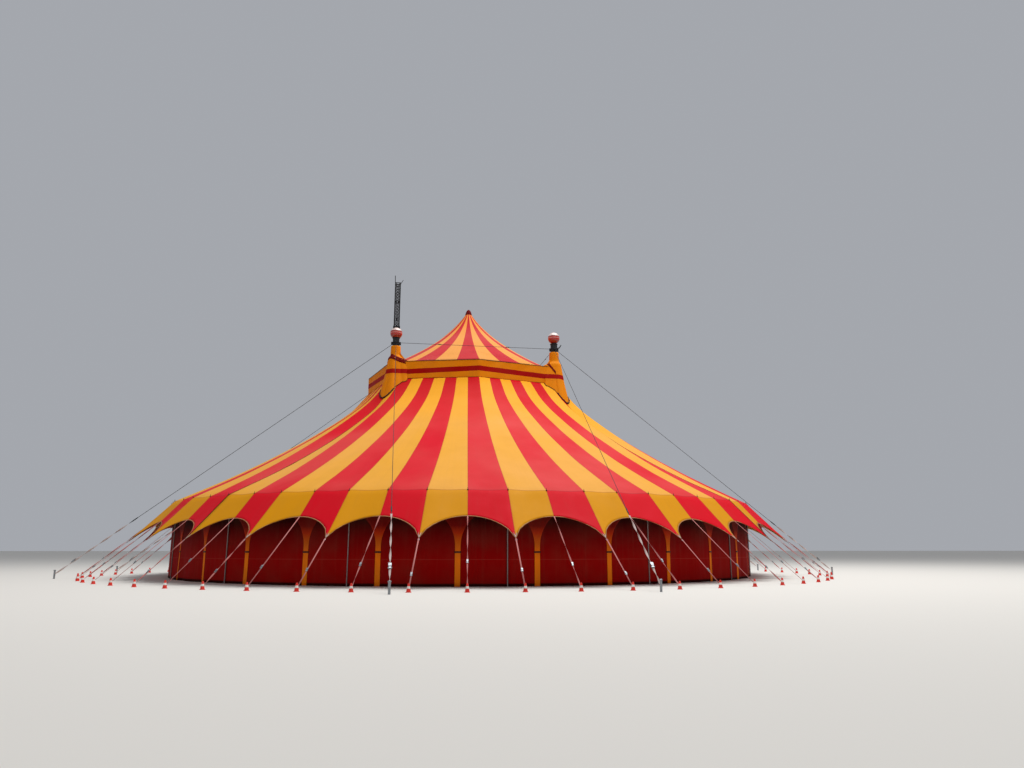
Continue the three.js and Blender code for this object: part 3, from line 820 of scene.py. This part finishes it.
# Gloss paint on the balls mirrors the sky, over a few dull spots; the darker red-brown band at the
# bottom is painted shade on the underside
ball_gloss = hard_finish(
    "glossy_ball_paint",
    belts(
        (0.0, "#8E1A10"), (0.30, "#B8281A"), (0.46, "#D8A8A0"), (0.50, "#B8281A"),
        (0.60, "#6E0A08"), (0.66, "#DCC4BC"),
    ),
    0.2, "#A08C84", 0.3, 12.0, Coat_Weight=0.4,
)


# Roof sections

def section_edge(u):
    return (u - 0.5) * SECTION_EDGES


def roof_share(v):
    """Rows lie closer together at the cupola, and one row lies on the knee."""
    row = v * (SLOPE_CLOTH_ROWS + VALANCE_CLOTH_ROWS)
    if row <= SLOPE_CLOTH_ROWS:
        return (row / SLOPE_CLOTH_ROWS) ** SLOPE_ROW_POWER
    return 1 + ((row - SLOPE_CLOTH_ROWS) / VALANCE_CLOTH_ROWS) ** VALANCE_END_POWER


def roof_section_mesh():
    return sheet_mesh(
        SECTION_COLUMNS, SLOPE_CLOTH_ROWS + VALANCE_CLOTH_ROWS,
        lambda u, v: roof_surface(section_edge(u), roof_share(v)),
        lambda u, v: (section_edge(u), roof_share(v)),
    )


def make_hem_ribbon(name, angle):
    """A pale tape sewn along the scallops' edge, its paleness partly a painted highlight where the
    edge catches the light.
    """
    mesh = sheet_mesh(
        SECTION_COLUMNS, 1,
        lambda u, v: roof_surface(section_edge(u), HEM_TAPE_TOP + HEM_TAPE_SHARE * v, TRIM_LIFT),
        lambda u, v: (section_edge(u), v),
    )
    return make_piece(name, turn(mesh, angle), hem_tape, thickness=TRIM_THICKNESS)


def make_roof_sections():
    for name, angle in SECTIONS.items():
        piece, area = make_cloth(
            f"{name}_roof_cloth", roof_section_mesh(), roof_cloth, f"{name}_roof", angle)
        ribbon = make_hem_ribbon(f"{name}_hem_ribbon", angle)


def make_mast_line_lacing():
    """Dark cord laces two sections together down each mast line, one stitch every 80 mm."""
    across = direction(CORNER_EDGE).cross(UP)
    mesh = bmesh.new()
    shares = [
        LACING_START + (2 - LACING_START) * step / LACING_STEPS for step in range(LACING_STEPS + 1)]
    line = [roof_surface(CORNER_EDGE, share, LACING_LIFT) for share in shares]
    tube(mesh, line, LACING_RADIUS, 4)
    for here, there in zip(line, line[1:]):
        stitches = max(1, round((there - here).length / STITCH_SPACING))
        lean = (there - here).normalized() * STITCH_LEAN
        for stitch in range(stitches):
            middle = here.lerp(there, stitch / stitches)
            start = middle - across * STITCH_REACH - lean
            rod(mesh, start, middle + across * STITCH_REACH + lean, STITCH_RADIUS, 4)
    for name, angle in QUARTERS.items():
        make_piece(f"{name}_roof_lacing", turn(mesh.copy(), angle), red_cord)
    mesh.free()


def make_knee_pins():
    """The side poles' pins come up through washers at the knee."""
    mesh = bmesh.new()
    for edge in range(STRIPES):
        place = chord_point(KNEE_RADIUS, edge)
        place.z = KNEE_HEIGHT
        rod(mesh, place - UP * WASHER_BOTTOM, place + UP * WASHER_TOP, WASHER_RADIUS, 10)
        rod(mesh, place, place + UP * PIN_HEIGHT, PIN_RADIUS, 6, PIN_TOP_RADIUS)
    make_piece("knee_pins", mesh, mast_enamel)


# Cupola

def cone_at(edge, v):
    """The radius grows with a share of the depth and with the square of the depth."""
    base = octagon_point(edge, 0)
    radius = CONE_TOP_RADIUS + (base.length - CONE_TOP_RADIUS) * v
    foot_radius = min(base.length, CUPOLA_SIDE)
    out = min(1, (radius - CONE_TOP_RADIUS) / (foot_radius - CONE_TOP_RADIUS))
    bend = 1 - CONE_STRAIGHT
    depth = (math.sqrt(CONE_STRAIGHT ** 2 + 4 * bend * out) - CONE_STRAIGHT) / (2 * bend)
    point = base.normalized() * radius
    point.z = CONE_TOP_HEIGHT + (CONE_FOOT_HEIGHT - CONE_TOP_HEIGHT) * depth
    return point


def cupola_point(u, v):
    edge = u * STRIPES % STRIPES
    point = cone_at(edge, v ** CONE_ROW_POWER)
    point.z -= CONE_SLACK * math.sin(math.pi * edge / 2) ** 2 * v * (1 - v)
    return point


def cupola_map(u, v):
    """Half as many gores as on the roof, and short of 1, where the roof's knee has its dark line of
    stitching and painted fold shade.
    """
    return (u * STRIPES / 2, 0.99 * v ** CONE_ROW_POWER)


def cupola_cone_mesh():
    return close_seams(sheet_mesh(STRIPES * 4, CONE_ROWS, cupola_point, cupola_map))


def make_cupola_cone():
    piece, area = make_cloth(
        "cupola_cloth", cupola_cone_mesh(), cupola_stripes, "cupola_roof")


def skirt_point(u, v, lift=0.0):
    edge = u * STRIPES % STRIPES
    wrinkle = SKIRT_WRINKLE * noise.noise(Vector((edge * 0.9 + v * 1.5, v * 1.2, 0)))
    wrinkle += SKIRT_FINE_WRINKLE * noise.noise(Vector((edge * 3.1, v * 2.5, 5)))
    point = octagon_point(edge, -lift - wrinkle - SKIRT_FLARE * v)
    point.z = SKIRT_TOP + (SKIRT_HEM - SKIRT_TOP - SKIRT_DROP) * v
    return point


def skirt_map(u, v):
    """The band lies higher at the middle of each side than at the masts."""
    edge = u * STRIPES % STRIPES
    to_corner = 1 - abs(edge % SECTION_EDGES - CORNER_EDGE) / CORNER_EDGE
    return (u * STRIPES, v + SKIRT_BAND_SHIFT - SKIRT_BAND_RISE * to_corner)


def make_skirt_edging():
    """A dark red strip along the skirt's hem."""
    mesh = sheet_mesh(
        SKIRT_COLUMNS, 2,
        lambda u, v: skirt_point(u, SKIRT_EDGING_TOP + (1 - SKIRT_EDGING_TOP) * v, TRIM_LIFT),
        lambda u, v: (u * STRIPES, v),
    )
    close_seams(mesh)
    return make_piece("skirt_edging", mesh, trim_cloth, thickness=TRIM_THICKNESS)


def make_cupola_skirt():
    mesh = close_seams(sheet_mesh(SKIRT_COLUMNS, SKIRT_ROWS, skirt_point, skirt_map))
    piece, area = make_cloth("skirt_cloth", mesh, skirt_cloth, "cupola_skirt")
    edging = make_skirt_edging()
    steps = STRIPES * 4
    line = [skirt_point(step / steps, 0.0, TRIM_LIFT) for step in range(steps + 1)]
    cord = tube(bmesh.new(), line, SKIRT_CORD_RADIUS)
    top_cord = make_piece("skirt_top_cord", cord, black_cord)


def make_peak_cap():
    """A cloth cap gathered over the post's head."""
    low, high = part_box("peak_cap")
    height = high.z - low.z
    mesh = turned([(out * high.x, low.z + up * height) for out, up in CAP_PROFILE], 32)
    for vert in mesh.verts:
        wave = math.sin(math.atan2(vert.co.y, vert.co.x) * CAP_GATHERS)
        gather = 1 + CAP_GATHER * wave * (high.z - vert.co.z) / height - CAP_GATHER
        vert.co.x *= gather
        vert.co.y *= gather
    piece, area = make_cloth("cap_cloth", mesh, cap_cloth, "peak_cap")


# Sleeves

def sleeve_radius(angle, height):
    """Round outside, where angle is 0, with flat sides that run on to the cupola's corner."""
    last = len(SLEEVE_PROFILE) - 2
    row = next((i for i in range(last) if height > SLEEVE_PROFILE[i + 1][0]), last)
    top, outer_top, inner_top = SLEEVE_PROFILE[row]
    low, outer_low, inner_low = SLEEVE_PROFILE[row + 1]
    share = (top - height) / (top - low)
    outer = outer_top + (outer_low - outer_top) * share
    inner = inner_top + (inner_low - inner_top) * share
    round_end = math.pi / 4
    flat_side = outer / max(0.2, math.cos(max(0, abs(angle) - round_end)))
    return min(max(outer, inner), flat_side)


def sleeve_point(angle, height, lift=0.0):
    """A point on the front right mast's sleeve, with its pleats and folds."""
    depth = min(1, max(0, (SLEEVE_FOLDS_START - height) / SLEEVE_FOLDS_FULL))
    fold_line = angle * 4.5 + noise.noise(Vector((angle, height, 4)))
    pleats = SLEEVE_PLEAT * (abs(math.sin(fold_line)) ** 0.6 - 0.7)
    folds = SLEEVE_FOLD * noise.noise(Vector((angle * 2.2, height * 0.8, 7)))
    gathers = SLEEVE_GATHER * math.sin(angle * 22)
    radius = sleeve_radius(angle, height) + lift + depth * (pleats + folds) + (1 - depth) * gathers
    around = angle - math.pi / 4
    return Vector((
        MAST_OFFSET + radius * math.cos(around),
        -MAST_OFFSET + radius * math.sin(around),
        height,
    ))


def sleeve_trim_point(u, v, one_sided):
    """The trim falls to both sides of the mast, or down one side as a loose flap."""
    if one_sided:
        angle = FLAP_START + FLAP_SPAN * u
        height = SLEEVE_TRIM_TOP - FLAP_FALL * u
        drop = FLAP_SHARE * SLEEVE_TRIM_HEIGHT
    else:
        angle = SLEEVE_TRIM_SPAN * (u - 0.5)
        height = SLEEVE_TRIM_TOP - SLEEVE_TRIM_FALL * (abs(angle) / 2) ** 1.2
        drop = SLEEVE_TRIM_HEIGHT
    crumple = TRIM_CRUMPLE * noise.noise(Vector((angle * 5, v * 3, 2)))
    return sleeve_point(angle, height - drop * v + crumple, SLEEVE_TRIM_LIFT + crumple)


def cloth_under_sleeve():
    mesh = roof_section_mesh()
    append(mesh, mesh, Matrix.Rotation(QUARTER_TURN, 4, "Z"))
    append(mesh, cupola_cone_mesh())
    return BVHTree.FromBMesh(mesh)


def sleeve_foot(angle, cloth):
    """The height at which the sleeve comes down on the roof or on the cone."""
    low, high = SLEEVE_LOWEST, SLEEVE_FOLDS_START
    for _ in range(FOOT_SEARCH_STEPS):
        middle = (low + high) / 2
        point = sleeve_point(angle, middle)
        hit = cloth.ray_cast(Vector((point.x, point.y, FOOT_SEARCH_TOP)), -UP)[0]
        if hit is not None and hit.z + SLEEVE_LIFT > middle:
            low = middle
        else:
            high = middle
    return high


def make_sleeves():
    cloth = cloth_under_sleeve()
    columns = SLEEVE_COLUMNS
    angles = [(step / columns - 0.5) * 2 * math.pi for step in range(columns + 1)]
    feet = [sleeve_foot(angle, cloth) for angle in angles]
    top = SLEEVE_PROFILE[0][0]

    def place(u, v):
        column = round(u * columns)
        return sleeve_point(angles[column], top + (feet[column] - top) * v)

    def height_map(u, v):
        return (u * 8, (SKIRT_TOP - place(u, v).z) / (SKIRT_TOP - SKIRT_HEM) - 0.08)

    # A cord runs along the hem where the sleeve stands on the roof, and the hem is rolled up in front
    outside = [step for step in range(columns + 1) if feet[step] < SKIRT_HEM + 0.02]
    rolled = [step for step in outside if abs(angles[step]) < ROLL_REACH]
    hem = [sleeve_point(angles[step], feet[step] + SLEEVE_LIFT, SLEEVE_LIFT) for step in outside]
    roll = [sleeve_point(angles[step], feet[step] + ROLL_RISE, ROLL_LIFT) for step in rolled]
    for name, angle in QUARTERS.items():
        flap = name == "front_right"
        piece, area = make_cloth(
            f"{name}_sleeve_cloth", close_seams(sheet_mesh(columns, SLEEVE_ROWS, place, height_map)),
            skirt_cloth, f"{name}_sleeve", angle, 1.0)
        trim = sheet_mesh(60, 4, lambda u, v: sleeve_trim_point(u, v, flap), flat_map)
        trim = make_piece(
            f"{name}_sleeve_trim", turn(trim, angle), trim_cloth,
            thickness=TRIM_THICKNESS)
        lacing = bmesh.new()
        tube(lacing, hem, HEM_CORD_RADIUS)
        tube(lacing, roll, ROLL_RADIUS)
        for knot in roll[::KNOT_STEP]:
            bmesh.ops.create_icosphere(
                lacing, subdivisions=1, radius=KNOT_RADIUS, matrix=Matrix.Translation(knot))
        lacing = make_piece(f"{name}_sleeve_lacing", turn(lacing, angle), red_cord)


# Walls

def wall_point(edge, height, lift=0.0):
    """The hung wall's outer face, held at the poles and slack between them."""
    slack = math.sin(math.pi * edge / 2) ** 2 * (1 - height / WALL_TOP * WALL_TOP_PULL)
    fold = noise.noise(Vector((edge * 2.3, height * 0.35, 3.0)))
    fold += 0.4 * noise.noise(Vector((edge * 6.1, height * 0.5, 9.0)))
    point = chord_point(WALL_RADIUS + WALL_LIFT + lift, edge)
    point += direction(edge) * (WALL_FOLD * fold * slack)
    point.z = height
    return point


def pillar_half_width(height):
    """In stripe edges: a plain shaft, then a round arch on each side up to the crown."""
    shaft = PILLAR_HALF_WIDTH / EDGE_WIDTH
    if height <= PILLAR_SPRING:
        return shaft
    radius = (1 - shaft) * EDGE_WIDTH
    rise = min(1, (height - PILLAR_SPRING) / radius)
    return 1 - (1 - shaft) * math.sqrt(1 - rise * rise)


def pillar_height(v):
    """Rows from the ground up: few on the shaft, many round the arch, and one over its crown."""
    crown = PILLAR_SPRING + EDGE_WIDTH - PILLAR_HALF_WIDTH
    if v < PILLAR_SHAFT_SHARE:
        return PILLAR_SPRING * v / PILLAR_SHAFT_SHARE
    if v < PILLAR_CROWN_SHARE:
        turn_share = (v - PILLAR_SHAFT_SHARE) / (PILLAR_CROWN_SHARE - PILLAR_SHAFT_SHARE)
        return PILLAR_SPRING + (crown - PILLAR_SPRING) * math.sin(turn_share * math.pi / 2)
    return crown + (SPANDREL_TOP - crown) * (v - PILLAR_CROWN_SHARE) / (1 - PILLAR_CROWN_SHARE)


def make_pillars(name, start, end):
    """Orange pillars and the arches between them, sewn on the wall, with a dark ring round each."""
    pillars = bmesh.new()
    rings = bmesh.new()
    first = 2 * math.floor((start - 1) / 2) + PILLAR_EDGE

    def on_wall(middle, aside, height, lift):
        return wall_point(min(end, max(start, middle + aside)), height, lift)

    def pillar_point(middle, u, v):
        height = pillar_height(v)
        return on_wall(middle, (2 * u - 1) * pillar_half_width(height), height, PILLAR_LIFT)

    def ring_point(middle, u, v):
        aside = (2 * u - 1) * PILLAR_RING_SHARE * pillar_half_width(0)
        height = PILLAR_RING + PILLAR_RING_HEIGHT * (v - 0.5)
        return on_wall(middle, aside, height, PILLAR_RING_LIFT)

    for step in range(WALL_STRIPES):
        middle = first + 2 * step
        if middle + 1 <= start or middle - 1 >= end:
            continue
        append(pillars, sheet_mesh(
            PILLAR_COLUMNS, PILLAR_ROWS,
            lambda u, v: pillar_point(middle, u, v),
            lambda u, v: (u * PILLAR_MAP_WIDTH, pillar_height(v) / SPANDREL_TOP),
        ))
        if start < middle < end:
            append(rings, sheet_mesh(2, 2, lambda u, v: ring_point(middle, u, v), flat_map))
    bmesh.ops.dissolve_degenerate(pillars, dist=1e-5, edges=pillars.edges)
    made = []
    for part, mesh, material in (("pillars", pillars, pillar_cloth), ("rings", rings, ring_cloth)):
        made.append(make_piece(
            f"{name}_{part}", mesh, material, thickness=TRIM_THICKNESS))
    return made


def make_walls():
    for number in range(STRIPES // WALL_STRIPES):
        start = number * WALL_STRIPES
        end = start + WALL_STRIPES
        start = DOOR_END if start == DOOR_END - 1 else start
        end = DOOR_START if end == DOOR_START + 1 else end
        mesh = sheet_mesh(
            (end - start) * WALL_COLUMNS, WALL_ROWS,
            lambda u, v: wall_point(start + u * (end - start), WALL_TOP * (1 - v)),
            lambda u, v: (start + u * (end - start), 1 - v),
        )
        name = f"wall_{number + 1}"
        piece, area = make_cloth(f"{name}_cloth", mesh, wall_cloth, name)
        make_pillars(name, start, end)


# Straps, stakes and the cones over them

def place_along(start, end, share):
    """A matrix whose Z runs along a strap and whose Y faces up from it, at a share of its length."""
    turned_to = (end - start).to_track_quat("Z", "Y").to_matrix().to_4x4()
    return Matrix.Translation(start.lerp(end, share)) @ turned_to


def ratchet():
    """A buckle with its handle folded down on the webbing."""
    mesh = bmesh.new()
    block(mesh, RATCHET_BODY, Matrix.Translation(RATCHET_BODY_PLACE))
    block(mesh, RATCHET_HANDLE, Matrix.Translation(RATCHET_HANDLE_PLACE))
    pin = Vector(RATCHET_PIN_PLACE)
    aside = Vector((RATCHET_PIN_REACH, 0, 0))
    return rod(mesh, pin - aside, pin + aside, RATCHET_PIN_RADIUS)


def map_height(mesh, low, high):
    """Maps a turned shape by its angle and its height, from 0 to 1."""
    layer = mesh.loops.layers.uv.new("cloth")
    for face in mesh.faces:
        for loop in face.loops:
            place = loop.vert.co
            loop[layer].uv = (math.atan2(place.y, place.x), (place.z - low) / (high - low))
    return mesh


def marker_cone():
    """A moulded cone over a stake, on a low foot."""
    profile = [
        (0, 0), (MARKER_RADIUS, 0),
        (MARKER_RADIUS, MARKER_FOOT_EDGE), (0.8 * MARKER_RADIUS, MARKER_FOOT_TOP),
        (MARKER_TOP_RADIUS * 1.25, 0.95 * MARKER_HEIGHT),
        (MARKER_TOP_RADIUS, MARKER_HEIGHT), (0, MARKER_HEIGHT),
    ]
    return map_height(turned(profile, 20), 0, MARKER_HEIGHT)


def tip_ring(mesh, matrix):
    """A wire ring through which a strap takes hold of a valance tip, added to a mesh."""
    angles = [math.pi / 5 * step for step in range(11)]
    circle = [
        matrix @ Vector((TIP_RING_RADIUS * math.cos(angle), 0.0, TIP_RING_RADIUS * math.sin(angle)))
        for angle in angles
    ]
    tube(mesh, circle, TIP_RING_WIRE, 4)


def tip_patch_point(edge, u, v):
    """A point on a patch over a valance tip, at any edge round the tent."""
    section, column = divmod(edge + CORNER_EDGE, SECTION_EDGES)
    aside = (2 * u - 1) * TIP_PATCH_HALF_WIDTH
    share = TIP_PATCH_TOP + TIP_PATCH_SHARE * v
    point = roof_surface(column - CORNER_EDGE + aside, share, TIP_PATCH_LIFT)
    return Matrix.Rotation(section * QUARTER_TURN, 3, "Z") @ point


def make_eaves():
    """The hem rope of each quarter, and from each stripe edge a strap with a ratchet and a stake."""
    buckle = ratchet()
    cone = marker_cone()
    for quarter, name in enumerate(QUARTERS):
        straps, ratchets, cones, rope, rings, patches = [bmesh.new() for _ in range(6)]
        first = quarter * SECTION_EDGES
        edges = [first + step / CLOTH_COLUMNS for step in range(SECTION_COLUMNS + 1)]
        line = [hem_point(edge, HEM_ROPE_LIFT) - UP * HEM_ROPE_RADIUS for edge in edges]
        tube(rope, line, HEM_ROPE_RADIUS)
        for edge in range(first, first + SECTION_EDGES):
            start = hem_point(edge, STRAP_LIFT)
            end = direction(edge) * STAKE_RADIUS + UP * STRAP_FOOT
            half_turns, rows = (STRAP_HALF_TURNS, 24) if edge % 5 in (1, 3) else (0, 2)
            append(straps, flat_strap(start, end, STRAP_WIDTH, half_turns, rows))
            share = RATCHET_SHARE + RATCHET_STEP * (edge % 3)
            append(ratchets, buckle, place_along(start, end, share))
            append(cones, cone, Matrix.Translation(direction(edge) * STAKE_RADIUS))
            if edge % 2 == 0:
                tip_ring(rings, place_along(start, end, TIP_RING_SHARE))
                append(patches, sheet_mesh(
                    2, 4, lambda u, v: tip_patch_point(edge, u, v), flat_map))
        node = f"{name}_eave_guys"
        make_piece(
            f"{name}_straps", straps, strap_webbing, node, WEBBING_THICKNESS, offset=0)
        make_piece(f"{name}_ratchets", ratchets, zinc)
        make_piece(f"{name}_marker_cones", cones, cone_plastic, node)
        make_piece(f"{name}_hem_rope", rope, hem_rope_cover, node)
        make_piece(f"{name}_tip_rings", rings, zinc)
        make_piece(
            f"{name}_tip_patches", patches, white_webbing, thickness=TRIM_THICKNESS)


# Cables and the fittings on the mast heads

def head_collar(height):
    inner = HEAD_RADIUS + SEAT_GAP
    low = height - COLLAR_HALF_HEIGHT
    high = height + COLLAR_HALF_HEIGHT
    return turn(turned_ring(inner, inner + COLLAR_THICKNESS, low, high, 8), math.pi / 8)


def turnbuckle(mesh, start, end, share, length):
    """A screw that tightens a wire: two eyes and an open body between them."""
    along = (end - start).normalized()
    middle = start.lerp(end, share)
    rod(mesh, middle - along * length / 2, middle + along * length / 2, TURNBUCKLE_RADIUS)
    for side in (-1, 1):
        eye_start = middle + along * side * length / 2
        rod(mesh, eye_start, middle + along * side * length * 0.75, TURNBUCKLE_EYE_RADIUS, 6)
    return mesh


def guy_anchor():
    """A capped steel stake."""
    return turned([
        (0, 0), (ANCHOR_RADIUS, 0), (ANCHOR_RADIUS, ANCHOR_TOP - 0.03),
        (ANCHOR_CAP_RADIUS, ANCHOR_TOP - 0.026), (ANCHOR_CAP_RADIUS, ANCHOR_TOP - 0.008),
        (0.024, ANCHOR_TOP), (0, ANCHOR_TOP),
    ], 12)


def make_mast_guys():
    """Two wires from each head, each with a turnbuckle, a strap, a ratchet and an anchor."""
    mast = Vector((MAST_OFFSET, -MAST_OFFSET, 0))
    routes = (
        (mast + Vector((0, -COLLAR_MIDDLE, GUY_HEIGHT)),
         Vector((ANCHOR_SIDE, -ANCHOR_REACH, ANCHOR_TOP / 2))),
        (mast + Vector((COLLAR_MIDDLE, 0, GUY_HEIGHT)),
         Vector((ANCHOR_REACH, -ANCHOR_SIDE, ANCHOR_TOP / 2))),
    )
    wires = move(head_collar(GUY_HEIGHT), mast)
    straps = bmesh.new()
    anchors = bmesh.new()
    buckle = ratchet()
    for start, end in routes:
        change = start.lerp(end, GUY_STRAP_START)
        rod(wires, start, change, CABLE_RADIUS)
        turnbuckle(wires, start, end, GUY_STRAP_START - 0.015, GUY_TURNBUCKLE_LENGTH)
        append(straps, flat_strap(change, end, GUY_STRAP_WIDTH, GUY_STRAP_HALF_TURNS, 60))
        matrix = place_along(start, end, GUY_BUCKLE_SHARE) @ Matrix.Scale(GUY_BUCKLE_SCALE, 4)
        append(anchors, buckle, matrix)
        append(anchors, guy_anchor(), Matrix.Translation((end.x, end.y, 0)))
    for name, angle in QUARTERS.items():
        node = f"{name}_mast_guys"
        make_piece(f"{name}_guy_wires", turn(wires.copy(), angle), wire, node)
        make_piece(f"{name}_guy_anchors", turn(anchors.copy(), angle), zinc, node)
        make_piece(
            f"{name}_guy_straps", turn(straps.copy(), angle), white_webbing,
            thickness=WEBBING_THICKNESS, offset=0)


def make_head_cables():
    """A ring of wires from head to head, with two clamps on each wire."""
    reach = MAST_OFFSET - COLLAR_MIDDLE
    left = Vector((-reach, -MAST_OFFSET, RING_HEIGHT))
    right = Vector((reach, -MAST_OFFSET, RING_HEIGHT))
    side = move(head_collar(RING_HEIGHT), (MAST_OFFSET, -MAST_OFFSET, 0))
    rod(side, left, right, CABLE_RADIUS)
    for share in RING_CLAMP_SHARES:
        turnbuckle(side, left, right, share, RING_CLAMP_LENGTH)
    mesh = bmesh.new()
    for angle in QUARTERS.values():
        append(mesh, side, Matrix.Rotation(angle, 4, "Z"))
    make_piece("head_cables", mesh, wire, "mast_head_cables")


def make_head_fittings():
    """Plates with shackles where the cables leave each head, and one bent arm."""
    lug = block(bmesh.new(), LUG_SIZE, Matrix.Translation((HEAD_RADIUS + 0.02, 0, LUG_HEIGHT)))
    pin = Vector((HEAD_RADIUS + 0.03, 0, SHACKLE_HEIGHT))
    across = Vector((0, SHACKLE_REACH, 0))
    rod(lug, pin - across, pin + across, SHACKLE_RADIUS)
    rim = turned_ring(
        HEAD_RADIUS - 0.01, HEAD_RADIUS + HEAD_RIM, HEAD_TOP - 0.03, HEAD_TOP - 0.005, 24)
    for name in QUARTERS:
        mesh = bmesh.new()
        for side in range(4):
            append(mesh, lug, Matrix.Rotation(side * QUARTER_TURN, 4, "Z"))
        append(mesh, rim)
        if name == "front_right":
            arm = Vector((HEAD_RADIUS - 0.01, 0, ARM_HEIGHT))
            rod(mesh, arm, arm + Vector((0.09, 0, 0.03)), ARM_RADIUS)
            elbow = arm + Vector((0.08, 0, 0.02))
            rod(mesh, elbow, arm + Vector((0.15, 0, 0.13)), 0.020, 8, ARM_END_RADIUS)
        move(mesh, mast_foot(name))
        make_piece(f"{name}_head_fittings", mesh, mast_enamel)


def mast_foot(name):
    """The point on the ground in the middle of a mast."""
    low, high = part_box(f"{name}_mast")
    return Vector((low.x + high.x, low.y + high.y, 0)) / 2


def zigzag(mesh, bottom, top, pitch, radius, first_lean=1):
    """Bracing rods up the four faces of a lattice mast."""
    reach = (MAST_WIDTH - CHORD_WIDTH) / 2
    steps = round((top - bottom) / pitch)
    for side in range(4):
        matrix = Matrix.Rotation(side * QUARTER_TURN, 3, "Z")
        for step in range(steps):
            low = bottom + (top - bottom) * step / steps
            high = bottom + (top - bottom) * (step + 1) / steps
            lean = first_lean * (reach if step % 2 else -reach)
            start = matrix @ Vector((lean, -reach, low))
            rod(mesh, start, matrix @ Vector((-lean, -reach, high)), radius, 6)
    return mesh


def make_mast_bracing():
    """Single bracing up each mast, crossed on the tall one's extension, and a clamp over its ball."""
    for name in QUARTERS:
        mesh = zigzag(bmesh.new(), BRACE_FOOT, HEAD_BOTTOM, BRACE_PITCH, BRACE_RADIUS)
        if name == TALL_MAST:
            for first_lean in (1, -1):
                zigzag(mesh, HEAD_TOP, EXTENSION_TOP - 0.02, EXTENSION_BRACE_PITCH,
                       EXTENSION_BRACE_RADIUS, first_lean)
            clamp_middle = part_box(f"{name}_mast_ball")[1].z + CLAMP_HEIGHT / 2
            clamp = Matrix.Translation((0, -MAST_WIDTH / 2 - 0.007, clamp_middle))
            for side in range(4):
                matrix = Matrix.Rotation(side * QUARTER_TURN, 4, "Z") @ clamp
                block(mesh, (MAST_WIDTH + 0.03, CLAMP_DEPTH, CLAMP_HEIGHT), matrix)
        move(mesh, mast_foot(name))
        make_piece(f"{name}_mast_bracing", mesh, mast_enamel)


def make_balls():
    for name in QUARTERS:
        node = f"{name}_mast_ball"
        low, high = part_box(node)
        # The two halves close in on the lattice where it runs on through the ball
        open_radius = MAST_WIDTH / 2 + 0.004 if name == TALL_MAST else 0
        widest = math.acos(open_radius / BALL_RADIUS)
        angles = [-widest + 2 * widest * step / BALL_ROWS for step in range(BALL_ROWS + 1)]
        profile = [(BALL_RADIUS * math.cos(a), BALL_RADIUS * math.sin(a)) for a in angles]
        if open_radius:
            profile.append(profile[0])
        mesh = map_height(turned(profile, 36), -BALL_RADIUS, BALL_RADIUS)
        make_piece(f"{name}_ball", move(mesh, (low + high) / 2), ball_gloss, node)


def finish_steel():
    """The masts, frame, post and side poles keep their solids, in enamel or weathered zinc."""
    for name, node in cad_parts.items():
        steel = pole_steel if name.endswith("side_poles") else mast_enamel
        if name.endswith(("_mast", "_side_poles", "_frame", "_post")):
            node.data.materials.clear()
            node.data.materials.append(steel)


make_roof_sections()
make_mast_line_lacing()
make_knee_pins()
make_cupola_cone()
make_cupola_skirt()
make_peak_cap()
make_sleeves()
make_walls()
make_eaves()
make_mast_guys()
make_head_cables()
make_head_fittings()
make_mast_bracing()
make_balls()
finish_steel()


# Floor, light and camera

def add_object(name, data):
    item = bpy.data.objects.new(name, data)
    bpy.context.scene.collection.objects.link(item)
    return item


def make_floor():
    mesh = bmesh.new()
    bmesh.ops.create_grid(mesh, x_segments=1, y_segments=1, size=FLOOR_REACH)
    data = bpy.data.meshes.new("floor")
    mesh.to_mesh(data)
    mesh.free()
    material, shader = new_material(
        "pale_floor", {"Base Color": srgb("#DEDAD2"), "Roughness": 0.9})
    data.materials.append(material)
    add_object("floor", data)


def make_light():
    world = bpy.data.worlds.new("soft grey sky")
    bpy.context.scene.world = world
    world.use_nodes = True
    set_inputs(
        world.node_tree.nodes["Background"], {"Color": srgb("#DCE0E8"), "Strength": SKY_STRENGTH})
    light = bpy.data.lights.new("soft studio light", "AREA")
    light.shape = "DISK"
    light.size = LIGHT_SIZE
    light.energy = LIGHT_POWER
    lamp = add_object("soft studio light", light)
    lamp.location = LIGHT_PLACE
    lamp.rotation_euler = (Vector(LIGHT_AIM) - lamp.location).to_track_quat("-Z", "Y").to_euler()


def make_camera():
    data = bpy.data.cameras.new("camera")
    data.lens = CAMERA_LENS
    data.sensor_width = CAMERA_SENSOR
    data.clip_end = 3 * FLOOR_REACH
    camera = add_object("camera", data)
    camera.location = CAMERA_PLACE
    camera.rotation_euler = (math.radians(90 + CAMERA_PITCH), 0, math.radians(-CAMERA_HEADING))
    bpy.context.scene.camera = camera


make_floor()
make_light()
make_camera()
bpy.context.scene.view_settings.view_transform = "Standard"
